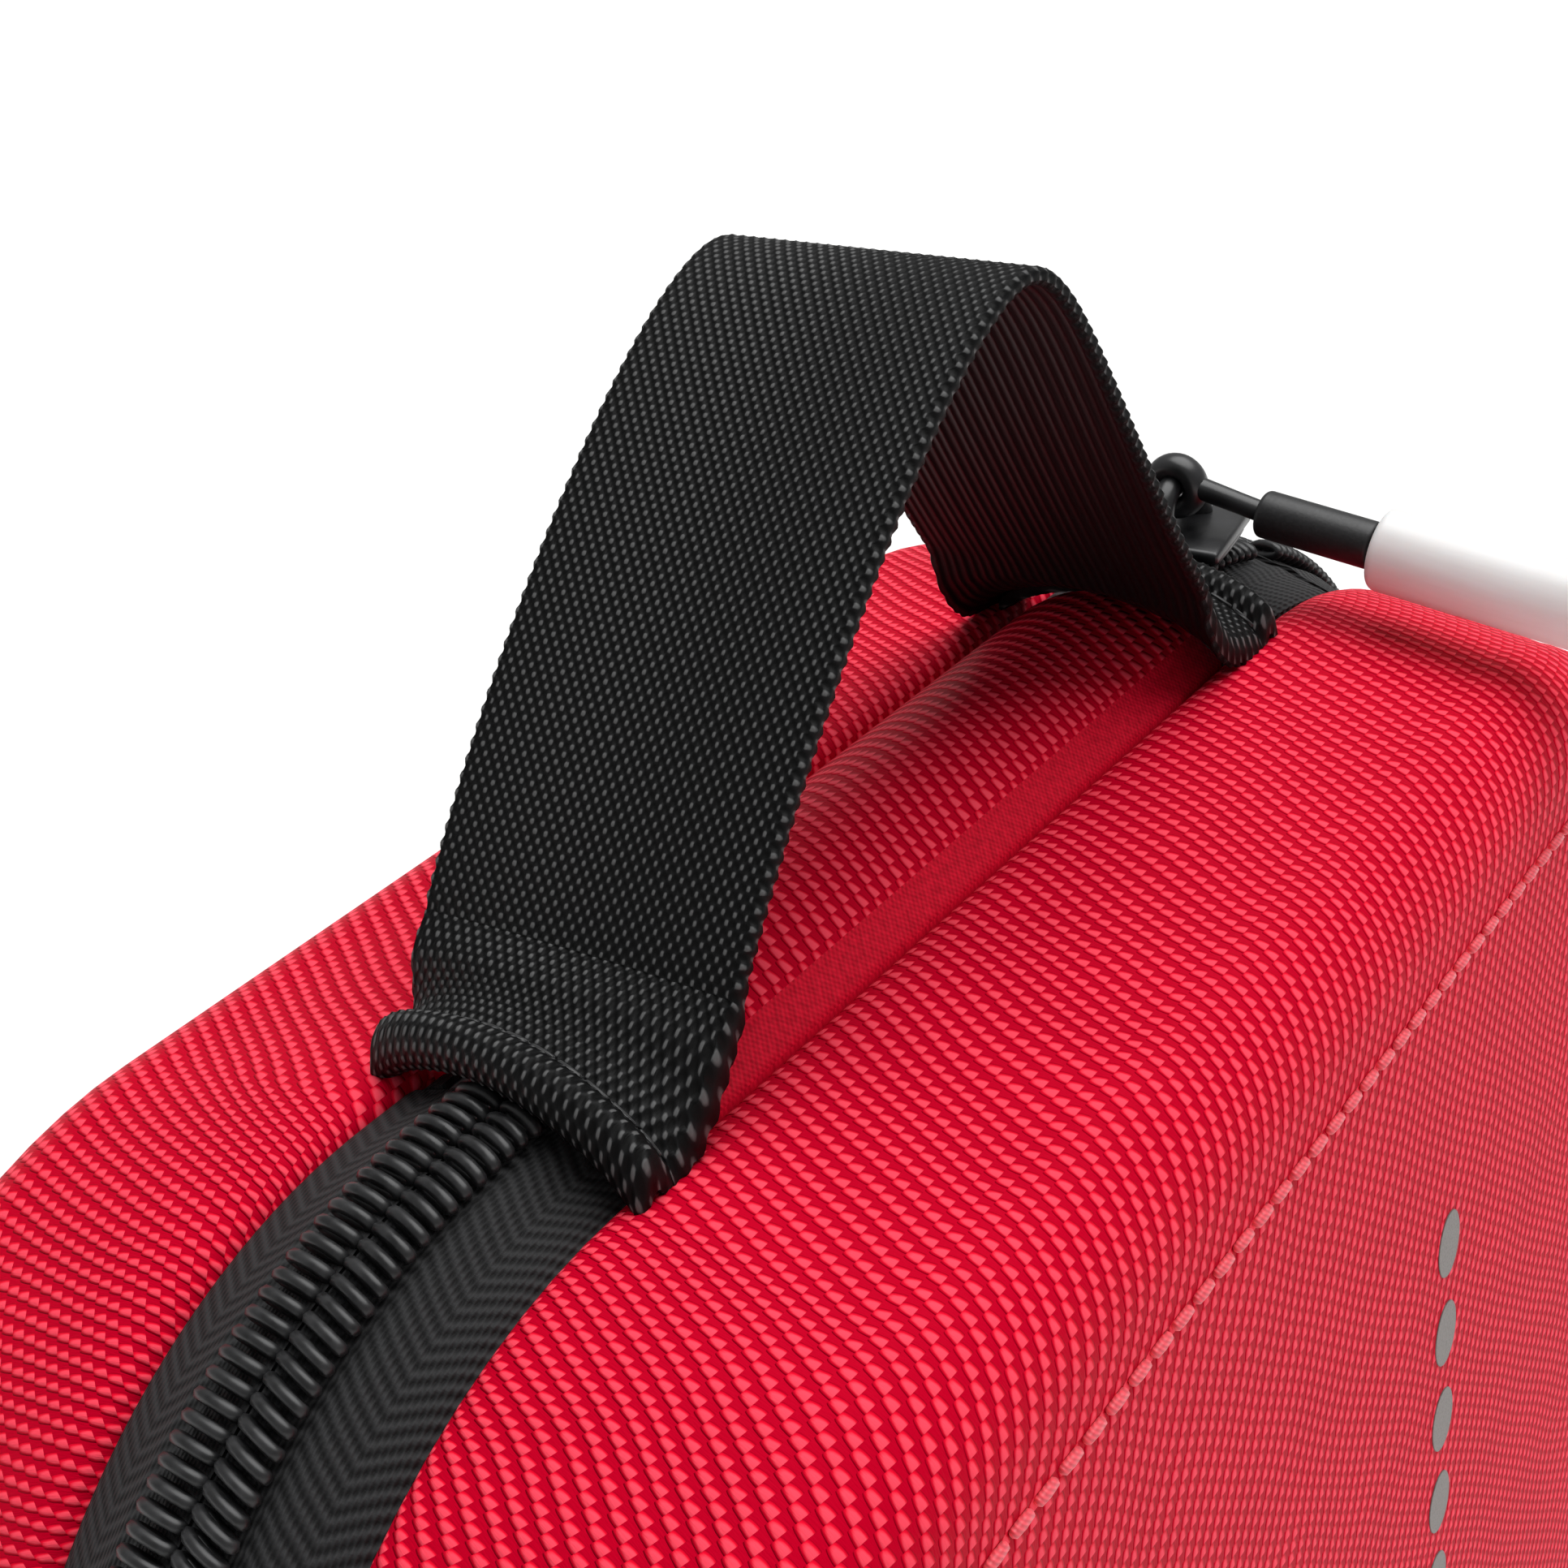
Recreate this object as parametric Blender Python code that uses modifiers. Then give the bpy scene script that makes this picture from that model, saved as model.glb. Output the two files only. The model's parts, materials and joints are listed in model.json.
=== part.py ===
"""Fire blanket in a semi-rigid carry case with a webbing handle.

Two moulded, fabric-faced shells meet at a zip that runs round three sides. A padded spine strip
joins them along the top, where the handle is sewn. The folded blanket sits in the rear shell,
under two elastic bands. The zip's slider is parked at the far foot of the handle, with its
puller laid over the front shell.

X runs along the top of the case, Y towards the back, Z up. The case stands on z = 0.
"""
import math

import bmesh
import bpy
from mathutils import Matrix, Vector

# ---- Driving dimensions, in metres ---------------------------------------------------------
CASE_W = 0.200          # over the rims, where the shells are widest
CASE_H = 0.260
CASE_T = 0.086          # front face to back face
SEAM_Y = 0.00545        # the zip's plane; centres the whole object, puller included, on y = 0
CORNER_R = 0.0475       # the case's four corners, seen from the front
EDGE_R = 0.010          # round between a shell's wall and its face
DRAFT = 0.00245         # the top and sides lean in by this between the rim and the edge round
GAP_HALF = 0.0118       # half the width of the band of zip or spine between the shells
RIM_LAND = (0.0143, 0.0183)   # flat land round each rim, measured from the seam
SHELL_WALL = 0.004
LINING_WALL = 0.0008
LINING_MOUTH_Y = 0.0168
CLEAR = 0.0003          # gap between pieces that touch

FOLD_Y = 0.0153         # the two fold lines of the spine, either side of the seam
FOLD_Z = CASE_H + 0.001

SPINE_HALF_X = 0.0488   # the strip ends under the handle's feet
SPINE_RISE = 0.0042     # its crest above the rims
SPINE_WALL = 0.0018

WEBBING_W = 0.030
WEBBING_T = 0.0016
FOOT_X = (0.0415, 0.0508)     # each folded foot, from the arch to the nose of its fold
FOOT_T = 0.0034
HANDLE_FEET = (-0.0398, 0.0367)   # where the legs of the arch leave the feet
HANDLE_TOP = (0.00575, 0.0490)    # the arch's highest point, above the rims
HANDLE_AXIS_Z = CASE_H + 0.0086

TAPE_T = 0.0009
TAPE_EDGE = 0.0010      # the tape is sewn this far below the rim
TAPE_CROWN = 0.0020     # and bulges this far above it
TAPE_SINK = 0.0032      # but is pressed in by this where the case stands on it
COIL_W = 0.0045
COIL_H = 0.0022
COIL_LIFT = 0.0005
ZIP_START_X = -0.0514
ZIP_END_X = 0.0720

SLIDER_X = (0.0530, 0.0650)
SLIDER_HALF_Y = 0.0062
SLIDER_TRAVEL = 0.006
BRIDGE_X = 0.0585       # middle of the bridge, where the puller's hook hangs
BRIDGE_Z = CASE_H + 0.0106
BRIDGE_R = 0.0013

HOOK_WIRE_R = 0.0010
HOOK_R = 0.0027         # centre line of the hook's eye round the bridge
PULLER_BEND = (-0.0070, CASE_H + 0.0081)    # y and z where the hook's tail can bend
FERRULE_GAP = 0.0024    # from there to the ferrule's mouth, so that its rim clears the tail
PULLER_SLOPE = math.radians(8.0)
FERRULE_L = 0.0122
FERRULE_R = 0.00215
SLEEVE_L = 0.0320
SLEEVE_R = 0.00375
SLEEVE_BORE = 0.00250
CORE_R = 0.0016

BLANKET = (0.162, 0.052, 0.205)      # folded: width, thickness, height
BLANKET_AT = (0.0, 0.0095, 0.1240)   # its middle
PULL_TAPE = (0.025, 0.0016, 0.075)
BLANKET_ROUND = 0.008
BAND_W = 0.025
BAND_T = 0.0014
BAND_ANCHOR = (0.0905, 0.0095)       # x and y where each band is sewn to the rear lining

# ---- Collections and materials -------------------------------------------------------------
for stale in list(bpy.data.objects):
    bpy.data.objects.remove(stale, do_unlink=True)

parts = bpy.data.collections.new("fire_blanket")
cutters = bpy.data.collections.new("cutters")
bpy.context.scene.collection.children.link(parts)
bpy.context.scene.collection.children.link(cutters)


def material(name, colour, roughness, metallic=0.0):
    mat = bpy.data.materials.new(name)
    mat.use_nodes = True
    shader = mat.node_tree.nodes["Principled BSDF"]
    shader.inputs["Base Color"].default_value = (*colour, 1.0)
    shader.inputs["Roughness"].default_value = roughness
    shader.inputs["Metallic"].default_value = metallic
    mat.diffuse_color = (*colour, 1.0)
    return mat


RED_NYLON = material("red_ballistic_nylon", (0.62, 0.012, 0.030), 0.55)
BLACK_WEBBING = material("black_webbing", (0.012, 0.012, 0.013), 0.6)
BLACK_TAPE = material("black_zip_tape", (0.022, 0.022, 0.023), 0.75)
BLACK_NYLON = material("black_moulded_nylon", (0.015, 0.015, 0.016), 0.35)
BLACK_METAL = material("black_painted_metal", (0.015, 0.015, 0.016), 0.35, 0.6)
GREY_LINING = material("grey_lining", (0.10, 0.10, 0.11), 0.85)
WHITE_GLASS_CLOTH = material("white_glass_cloth", (0.78, 0.76, 0.70), 0.7)
CLEAR_SLEEVE = material("white_silicone", (0.88, 0.88, 0.86), 0.3)

# ---- Axes: an empty on each joint, which its moving pieces hang from -----------------------
PIVOTS = {}


def axis(name, point, parent=None):
    """An empty at a point of the case's own frame, whose y is 0 at the seam."""
    empty = bpy.data.objects.new(name, None)
    parts.objects.link(empty)
    PIVOTS[name] = Vector(point)
    if parent:
        empty.parent = parent
        empty.location = PIVOTS[name] - PIVOTS[parent.name]
    else:
        empty.location = (0.0, SEAM_Y, 0.0)
    return empty


case_axis = axis("case_axis", (0.0, 0.0, 0.0))
rear_fold_axis = axis("rear_fold_axis", (0.0, FOLD_Y, FOLD_Z), case_axis)
front_fold_axis = axis("front_fold_axis", (0.0, -FOLD_Y, FOLD_Z), rear_fold_axis)
handle_axis = axis("handle_axis", (0.0, 0.0, HANDLE_AXIS_Z), rear_fold_axis)
slider_axis = axis("slider_axis", (BRIDGE_X, 0.0, CASE_H), rear_fold_axis)
lift_axis = axis("lift_axis", (BRIDGE_X, 0.0, BRIDGE_Z), slider_axis)
bend_axis = axis("bend_axis", (BRIDGE_X, *PULLER_BEND), lift_axis)


def add_part(name, mesh, mat, parent):
    """Link a mesh drawn in the case's frame, with its origin on its parent's axis."""
    pivot = PIVOTS[parent.name]
    mesh.transform(Matrix.Translation(-pivot))
    ob = bpy.data.objects.new(name, mesh)
    parts.objects.link(ob)
    ob.parent = parent
    mesh.materials.clear()
    mesh.materials.append(mat)
    return ob


def mesh_of(bm, name):
    bmesh.ops.recalc_face_normals(bm, faces=bm.faces)
    if bm.calc_volume(signed=True) < 0.0:
        bmesh.ops.reverse_faces(bm, faces=bm.faces)
    mesh = bpy.data.meshes.new(name)
    bm.to_mesh(mesh)
    bm.free()
    return mesh


def solidify(ob, thickness, offset):
    mod = ob.modifiers.new("thickness", "SOLIDIFY")
    mod.thickness = thickness
    mod.offset = offset
    mod.use_even_offset = True


def curve_mesh(curve, name):
    """A curve's evaluated mesh, with its loose caps welded."""
    ob = bpy.data.objects.new(name, curve)
    cutters.objects.link(ob)
    graph = bpy.context.evaluated_depsgraph_get()
    mesh = bpy.data.meshes.new_from_object(ob.evaluated_get(graph))
    bm = bmesh.new()
    bm.from_mesh(mesh)
    bmesh.ops.remove_doubles(bm, verts=bm.verts, dist=0.00001)
    bpy.data.objects.remove(ob, do_unlink=True)
    return mesh_of(bm, name)


def wire_mesh(name, points, radius, cyclic=False, sides=2):
    curve = bpy.data.curves.new(name, "CURVE")
    curve.dimensions = "3D"
    curve.bevel_depth = radius
    curve.bevel_resolution = sides
    curve.use_fill_caps = not cyclic
    spline = curve.splines.new("POLY")
    spline.points.add(len(points) - 1)
    for slot, point in zip(spline.points, points):
        slot.co = (*point, 1.0)
    spline.use_cyclic_u = cyclic
    return curve_mesh(curve, name)


def box_bmesh(size, centre):
    bm = bmesh.new()
    place = Matrix.Translation(centre) @ Matrix.Diagonal((*size, 1.0))
    bmesh.ops.create_cube(bm, size=1.0, matrix=place)
    return bm


def rod_bmesh(start, end, radius, sides=20, radius_end=None):
    bm = bmesh.new()
    run = Vector(end) - Vector(start)
    place = Matrix.Translation((Vector(start) + Vector(end)) / 2) @ run.to_track_quat("Z", "Y").to_matrix().to_4x4()
    bmesh.ops.create_cone(bm, cap_ends=True, segments=sides, radius1=radius,
                          radius2=radius_end or radius, depth=run.length, matrix=place)
    return bm


def cutter(name, bm):
    ob = bpy.data.objects.new(name, mesh_of(bm, name))
    cutters.objects.link(ob)
    ob.location = (0.0, SEAM_Y, 0.0)
    ob.hide_render = True
    ob.display_type = "WIRE"
    return ob


def boolean(ob, tool, operation):
    mod = ob.modifiers.new(operation.lower(), "BOOLEAN")
    mod.operation = operation
    mod.object = tool


# ---- The case's outline, seen from the front -----------------------------------------------
CORE_X = CASE_W / 2 - CORNER_R       # centres of the corner rounds
CORE_Z = CASE_H / 2 - CORNER_R
MID_Z = CASE_H / 2


def outward(x, z):
    """Direction square to the outline at a point on it or parallel to it."""
    away = Vector((x - max(-CORE_X, min(CORE_X, x)), z - MID_Z - max(-CORE_Z, min(CORE_Z, z - MID_Z))))
    return away.normalized()


def corner(sign_x, sign_z, inset, start, end, steps):
    """Points along one corner round, from one angle to another in degrees."""
    radius = CORNER_R - inset
    points = []
    for step in range(steps + 1):
        angle = math.radians(start + (end - start) * step / steps)
        points.append((sign_x * CORE_X + radius * math.cos(angle),
                       MID_Z + sign_z * CORE_Z + radius * math.sin(angle)))
    return points


def outline(inset, steps=8):
    """The whole outline, anticlockwise from the top right."""
    return (corner(1, 1, inset, 0, 90, steps) + corner(-1, 1, inset, 90, 180, steps)
            + corner(-1, -1, inset, 180, 270, steps) + corner(1, -1, inset, 270, 360, steps))


def zip_line(steps=8):
    """The zip's run on the rim outline: from the near foot, down, along the base and up again."""
    end_angle = math.degrees(math.acos((ZIP_END_X - CORE_X) / CORNER_R))
    return ([(ZIP_START_X, CASE_H)] + corner(-1, 1, 0.0, 90, 180, steps)
            + corner(-1, -1, 0.0, 180, 270, steps) + corner(1, -1, 0.0, 270, 360, steps)
            + corner(1, 1, 0.0, 0, end_angle, steps))


# ---- Shells and linings --------------------------------------------------------------------
def lean(y):
    """How far the outer wall stands in from the rim outline, at a distance from the seam."""
    stations = ((GAP_HALF, 0.0022), (RIM_LAND[0], 0.0), (RIM_LAND[1], 0.0), (CASE_T / 2 - EDGE_R, DRAFT))
    for (y0, in0), (y1, in1) in zip(stations, stations[1:]):
        if y <= y1:
            return in0 + (in1 - in0) * max(0.0, (y - y0) / (y1 - y0))
    return DRAFT


def tray(name, side, inset, mouth_y):
    """An open moulded tray: a rounded block, leaned in all round but for its flat base."""
    deep = CASE_T / 2 - inset
    bm = box_bmesh((CASE_W - 2 * inset, deep - mouth_y, CASE_H - 2 * inset),
                   (0.0, side * (deep + mouth_y) / 2, MID_Z))
    across = [e for e in bm.edges if abs(e.verts[0].co.y - e.verts[1].co.y) > 0.001]
    bmesh.ops.bevel(bm, geom=across, offset=CORNER_R - inset, segments=8, profile=0.5, affect="EDGES")
    face_edge = [e for e in bm.edges if all(abs(v.co.y) > deep - 0.0001 for v in e.verts)]
    bmesh.ops.bevel(bm, geom=face_edge, offset=EDGE_R - inset, segments=4, profile=0.5, affect="EDGES")
    for station in RIM_LAND:
        everything = bm.verts[:] + bm.edges[:] + bm.faces[:]
        bmesh.ops.bisect_plane(bm, geom=everything, plane_co=(0.0, side * station, 0.0),
                               plane_no=(0.0, 1.0, 0.0), dist=0.00001)
    for vert in bm.verts:
        away = outward(vert.co.x, vert.co.z)
        shift = lean(abs(vert.co.y))
        if abs(vert.co.y) > RIM_LAND[1]:
            shift *= 1.0 + min(0.0, away.y)
        if away.length > 0.5:
            vert.co.x -= away.x * shift
            vert.co.z -= away.y * shift
    bmesh.ops.recalc_face_normals(bm, faces=bm.faces)
    mouth = [f for f in bm.faces if abs(f.calc_center_median().y) < mouth_y + 0.0001]
    bmesh.ops.delete(bm, geom=mouth, context="FACES_ONLY")
    mesh = bpy.data.meshes.new(name)
    bm.to_mesh(mesh)
    bm.free()
    return mesh


for half, side, parent in (("rear", 1, case_axis), ("front", -1, front_fold_axis)):
    shell = add_part(half + "_shell", tray(half + "_shell", side, 0.0, GAP_HALF), RED_NYLON, parent)
    solidify(shell, SHELL_WALL, -1.0)
    inner = SHELL_WALL + CLEAR
    lining = add_part(half + "_lining", tray(half + "_lining", side, inner, LINING_MOUTH_Y), GREY_LINING,
                      parent)
    solidify(lining, LINING_WALL, -1.0)

# ---- Bindings: taped seam round the inside of each rim -------------------------------------
BINDING_R = 0.0013
BINDING_Y = 0.0122
BINDING_INSET = 0.0056
for half, side, parent in (("rear", 1, case_axis), ("front", -1, front_fold_axis)):
    route = [(x, side * BINDING_Y, z) for x, z in outline(BINDING_INSET, 6)]
    add_part(half + "_binding", wire_mesh(half + "_binding", route, BINDING_R, cyclic=True, sides=1),
             BLACK_TAPE, parent)


# ---- Zip: a tape and a row of coil on each shell -------------------------------------------
def crown(z):
    """How far the zip's middle stands out of the rim; it is pressed in under the case."""
    rise = min(1.0, max(0.0, z / CORNER_R))
    eased = rise * rise * (3.0 - 2.0 * rise)
    return TAPE_CROWN - (TAPE_CROWN + TAPE_SINK) * (1.0 - eased)


def tape_height(y, z):
    """How far the tape's outer face stands out of the rim outline, at a distance from the seam."""
    share = (y - CLEAR / 2) / (GAP_HALF - CLEAR - CLEAR / 2)
    return crown(z) - share * (crown(z) + TAPE_EDGE)


def band(name, side, outer_y, low, high):
    """A closed strip along one side of the zip, between two heights above the tape's face."""
    bm = bmesh.new()
    rings = []
    for x, z in zip_line():
        away = outward(x, z)
        ring = []
        for y, lift in ((outer_y, low), (CLEAR / 2, low), (CLEAR / 2, high), (outer_y, high)):
            out = tape_height(y, z) + lift
            ring.append(bm.verts.new((x + away.x * out, side * y, z + away.y * out)))
        rings.append(ring)
    for here, there in zip(rings, rings[1:]):
        for k in range(4):
            bm.faces.new((here[k], here[k - 1], there[k - 1], there[k]))
    bm.faces.new(rings[0])
    bm.faces.new(rings[-1])
    return mesh_of(bm, name)


for half, side, parent in (("rear", 1, case_axis), ("front", -1, front_fold_axis)):
    tape = band(half + "_zip_tape", side, GAP_HALF - CLEAR, -TAPE_T, 0.0)
    add_part(half + "_zip_tape", tape, BLACK_TAPE, parent)
    coil = band(half + "_zip_coil", side, COIL_W, COIL_LIFT, COIL_LIFT + COIL_H)
    add_part(half + "_zip_coil", coil, BLACK_NYLON, parent)


# ---- Spine: a padded strip, its lining, and the parked end of the zip ----------------------
def barrel(name, half_x, half_y, top, fall, thickness):
    """A strip bowed across its width, from a block cut into ten."""
    bm = box_bmesh((2 * half_x, 2 * half_y, thickness), (0.0, 0.0, top - thickness / 2))
    across = [e for e in bm.edges if abs(e.verts[0].co.y - e.verts[1].co.y) > 0.001]
    bmesh.ops.subdivide_edges(bm, edges=across, cuts=9, use_grid_fill=True)
    for vert in bm.verts:
        vert.co.z -= fall * (vert.co.y / half_y) ** 2
    return mesh_of(bm, name)


SPINE_HALF_Y = GAP_HALF - CLEAR
add_part("spine_panel", barrel("spine_panel", SPINE_HALF_X, SPINE_HALF_Y, CASE_H + SPINE_RISE,
                               SPINE_RISE + 0.0008, SPINE_WALL), RED_NYLON, rear_fold_axis)
add_part("spine_lining", barrel("spine_lining", SPINE_HALF_X - 0.001, SPINE_HALF_Y - 0.0003,
                                CASE_H + SPINE_RISE - SPINE_WALL - CLEAR, SPINE_RISE + 0.0008,
                                LINING_WALL), GREY_LINING, rear_fold_axis)


def far_zip_end():
    """The short stretch of both tapes and both coils that the parked slider rides on."""
    first_x = SPINE_HALF_X + 0.0032
    last_x = ZIP_END_X - 0.0015
    steps = 8
    bm = box_bmesh((last_x - first_x, 2 * SPINE_HALF_Y, TAPE_T),
                   ((first_x + last_x) / 2, 0.0, CASE_H - TAPE_T / 2))
    along = [e for e in bm.edges if abs(e.verts[0].co.x - e.verts[1].co.x) > 0.001]
    bmesh.ops.subdivide_edges(bm, edges=along, cuts=steps - 1, use_grid_fill=True)
    for y in (-0.0046, 0.0046, 0.0):
        everything = bm.verts[:] + bm.edges[:] + bm.faces[:]
        bmesh.ops.bisect_plane(bm, geom=everything, plane_co=(0.0, y, 0.0), plane_no=(0.0, 1.0, 0.0))
    ridge = [f for f in bm.faces if f.normal.z > 0.9 and abs(f.calc_center_median().y) < COIL_W]
    raised = bmesh.ops.extrude_face_region(bm, geom=ridge)
    bmesh.ops.translate(bm, verts=[v for v in raised["geom"] if isinstance(v, bmesh.types.BMVert)],
                        vec=(0.0, 0.0, COIL_H))
    bmesh.ops.delete(bm, geom=ridge, context="FACES")
    for vert in bm.verts:
        share = abs(vert.co.y) / SPINE_HALF_Y
        bulge = TAPE_CROWN if share < 0.45 else -TAPE_EDGE
        past = max(0.0, vert.co.x - CORE_X)
        vert.co.z += bulge - (CORNER_R - math.sqrt(CORNER_R ** 2 - past ** 2))
    return mesh_of(bm, "far_zip_end")


far_end = add_part("far_zip_end", far_zip_end(), BLACK_TAPE, rear_fold_axis)
POST_X = SLIDER_X[0] + 0.0025
slot_end = POST_X + SLIDER_TRAVEL + 0.0018
slot = cutter("zip_slot", box_bmesh((0.020, 0.0030, 0.012), (slot_end - 0.010, 0.0, CASE_H)))
boolean(far_end, slot, "DIFFERENCE")


# ---- Feet of the handle: the webbing folded under and sewn across the band -----------------
def bow(bm, fall):
    """Bend a piece down towards its ends, across the case."""
    across = [e for e in bm.edges if abs(e.verts[0].co.y - e.verts[1].co.y) > 0.001]
    bmesh.ops.subdivide_edges(bm, edges=across, cuts=9, use_grid_fill=True)
    for vert in bm.verts:
        vert.co.z -= fall * (vert.co.y / (WEBBING_W / 2)) ** 2


FOOT_FALL = 0.0042
FOOT_BASE = CASE_H + SPINE_RISE + 0.0004
TACK_H = 0.0006
for name, sign in (("near", -1), ("far", 1)):
    long = FOOT_X[1] - FOOT_X[0]
    bm = box_bmesh((long, WEBBING_W, FOOT_T), (sign * (FOOT_X[0] + long / 2), 0.0, FOOT_BASE + FOOT_T / 2))
    nose = [e for e in bm.edges if all(abs(v.co.x) > FOOT_X[1] - 0.0001 for v in e.verts)
            and abs(e.verts[0].co.y - e.verts[1].co.y) > 0.001]
    bmesh.ops.bevel(bm, geom=nose, offset=FOOT_T * 0.45, segments=4, profile=0.5, affect="EDGES")
    bow(bm, FOOT_FALL)
    add_part(name + "_strap_foot", mesh_of(bm, name + "_strap_foot"), BLACK_WEBBING, rear_fold_axis)
    bm = box_bmesh((0.0016, WEBBING_W - 0.004, TACK_H),
                   (sign * (FOOT_X[1] - 0.0034), 0.0, FOOT_BASE + FOOT_T + CLEAR + TACK_H / 2))
    bow(bm, FOOT_FALL)
    add_part(name + "_bar_tack", mesh_of(bm, name + "_bar_tack"), BLACK_TAPE, rear_fold_axis)


# ---- Handle: one run of webbing, bent into an uneven arch ----------------------------------
def handle_mesh():
    curve = bpy.data.curves.new("handle_strap", "CURVE")
    curve.dimensions = "2D"
    curve.fill_mode = "NONE"
    curve.extrude = WEBBING_W / 2
    curve.resolution_u = 12
    spline = curve.splines.new("BEZIER")
    spline.bezier_points.add(2)
    base = HANDLE_AXIS_Z - CASE_H
    knots = (((HANDLE_FEET[0], base), (-0.001, -0.001), (0.0108, 0.0170)),
             (HANDLE_TOP, (-0.01065, 0.0), (0.00815, 0.0)),
             ((HANDLE_FEET[1], base), (-0.0186, 0.0255), (0.001, -0.001)))
    for knot, (point, back, ahead) in zip(spline.bezier_points, knots):
        knot.handle_left_type = "FREE"
        knot.handle_right_type = "FREE"
        knot.co = (point[0], point[1], 0.0)
        knot.handle_left = (point[0] + back[0], point[1] + back[1], 0.0)
        knot.handle_right = (point[0] + ahead[0], point[1] + ahead[1], 0.0)
    mesh = curve_mesh(curve, "handle_strap")
    mesh.transform(Matrix.Translation((0.0, 0.0, CASE_H)) @ Matrix.Rotation(math.pi / 2, 4, "X"))
    for vert in mesh.vertices:
        above = vert.co.z - HANDLE_AXIS_Z
        vert.co.y *= min(1.0, 0.12 + above / 0.0125)
    return mesh


handle = add_part("handle_strap", handle_mesh(), BLACK_WEBBING, handle_axis)
solidify(handle, WEBBING_T, 0.0)

# ---- Slider: two plates joined by a post, with a bridge over the top -----------------------
slider_mid = (SLIDER_X[0] + SLIDER_X[1]) / 2
slider_long = SLIDER_X[1] - SLIDER_X[0]
PLATE_T = 0.0014
top_z = CASE_H + TAPE_CROWN + COIL_H + 0.0004
low_z = CASE_H - TAPE_EDGE - TAPE_T - 0.0018
bm = box_bmesh((slider_long, 2 * SLIDER_HALF_Y, PLATE_T), (slider_mid, 0.0, top_z + PLATE_T / 2))
upright = [e for e in bm.edges if abs(e.verts[0].co.z - e.verts[1].co.z) > 0.001]
bmesh.ops.bevel(bm, geom=upright, offset=0.0028, segments=4, profile=0.5, affect="EDGES")
slider = add_part("slider_body", mesh_of(bm, "slider_body"), BLACK_METAL, slider_axis)
low_plate = box_bmesh((slider_long, 2 * SLIDER_HALF_Y, PLATE_T), (slider_mid, 0.0, low_z - PLATE_T / 2))
post = rod_bmesh((POST_X, 0.0, low_z - PLATE_T / 2), (POST_X, 0.0, top_z + PLATE_T / 2), 0.0011, 12)
boolean(slider, cutter("slider_low_plate", low_plate), "UNION")
boolean(slider, cutter("slider_post", post), "UNION")

span = 0.0042
bridge_foot = top_z + PLATE_T + CLEAR
route = [(BRIDGE_X - span, 0.0, bridge_foot), (BRIDGE_X - span, 0.0, BRIDGE_Z - 0.0016)]
for step in range(1, 4):
    angle = math.radians(180 - 30 * step)
    route.append((BRIDGE_X - span + 0.0016 + 0.0016 * math.cos(angle), 0.0,
                  BRIDGE_Z - 0.0016 + 0.0016 * math.sin(angle)))
route += [(2 * BRIDGE_X - x, y, z) for x, y, z in reversed(route)]
add_part("slider_bridge", wire_mesh("slider_bridge", route, BRIDGE_R), BLACK_METAL, slider_axis)

# ---- Puller: a wire hook, a ferrule, and a sleeve over a core ------------------------------
toward = Vector((0.0, -math.cos(PULLER_SLOPE), -math.sin(PULLER_SLOPE)))
hook_end = Vector((BRIDGE_X, *PULLER_BEND))
mouth = hook_end + toward * FERRULE_GAP
bar = Vector((BRIDGE_X, 0.0, BRIDGE_Z))
leave = math.radians(250)
route = [hook_end]
for step in range(13):
    angle = leave - math.radians(290) * step / 12
    route.append(bar + HOOK_R * Vector((0.0, math.cos(angle), math.sin(angle))))
add_part("puller_hook", wire_mesh("puller_hook", route, HOOK_WIRE_R), BLACK_METAL, lift_axis)

ferrule_end = mouth + toward * FERRULE_L
ferrule = rod_bmesh(mouth, ferrule_end, FERRULE_R)
add_part("puller_ferrule", mesh_of(ferrule, "puller_ferrule"), BLACK_NYLON, bend_axis)

sleeve_start = ferrule_end + toward * CLEAR
sleeve_end = sleeve_start + toward * SLEEVE_L


def turned(name, profile, start, direction):
    """A profile of radius and distance, turned about a line."""
    bm = bmesh.new()
    verts = [bm.verts.new((radius, 0.0, along)) for radius, along in profile]
    edges = [bm.edges.new(pair) for pair in zip(verts, verts[1:] + verts[:1])]
    bmesh.ops.spin(bm, geom=verts + edges, cent=(0.0, 0.0, 0.0), axis=(0.0, 0.0, 1.0),
                   angle=2 * math.pi, steps=24, use_merge=True)
    bmesh.ops.remove_doubles(bm, verts=bm.verts, dist=0.00001)
    bm.transform(Matrix.Translation(start) @ direction.to_track_quat("Z", "Y").to_matrix().to_4x4())
    return mesh_of(bm, name)


sleeve_profile = ((SLEEVE_BORE, 0.0), (SLEEVE_R - 0.0006, 0.0), (SLEEVE_R, 0.0006),
                  (SLEEVE_R, SLEEVE_L - 0.0006), (SLEEVE_R - 0.0006, SLEEVE_L), (SLEEVE_BORE, SLEEVE_L))
add_part("puller_sleeve", turned("puller_sleeve", sleeve_profile, sleeve_start, toward), CLEAR_SLEEVE,
         bend_axis)
core = rod_bmesh(sleeve_start, sleeve_end - toward * 0.0004, CORE_R, 16)
add_part("puller_core", mesh_of(core, "puller_core"), BLACK_NYLON, bend_axis)

# ---- Blanket: folded cloth, two pull tapes, two elastic bands ------------------------------
bm = box_bmesh(BLANKET, BLANKET_AT)
bmesh.ops.bevel(bm, geom=bm.edges[:], offset=BLANKET_ROUND, segments=3, profile=0.5, affect="EDGES")
add_part("blanket", mesh_of(bm, "blanket"), WHITE_GLASS_CLOTH, case_axis)

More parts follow.
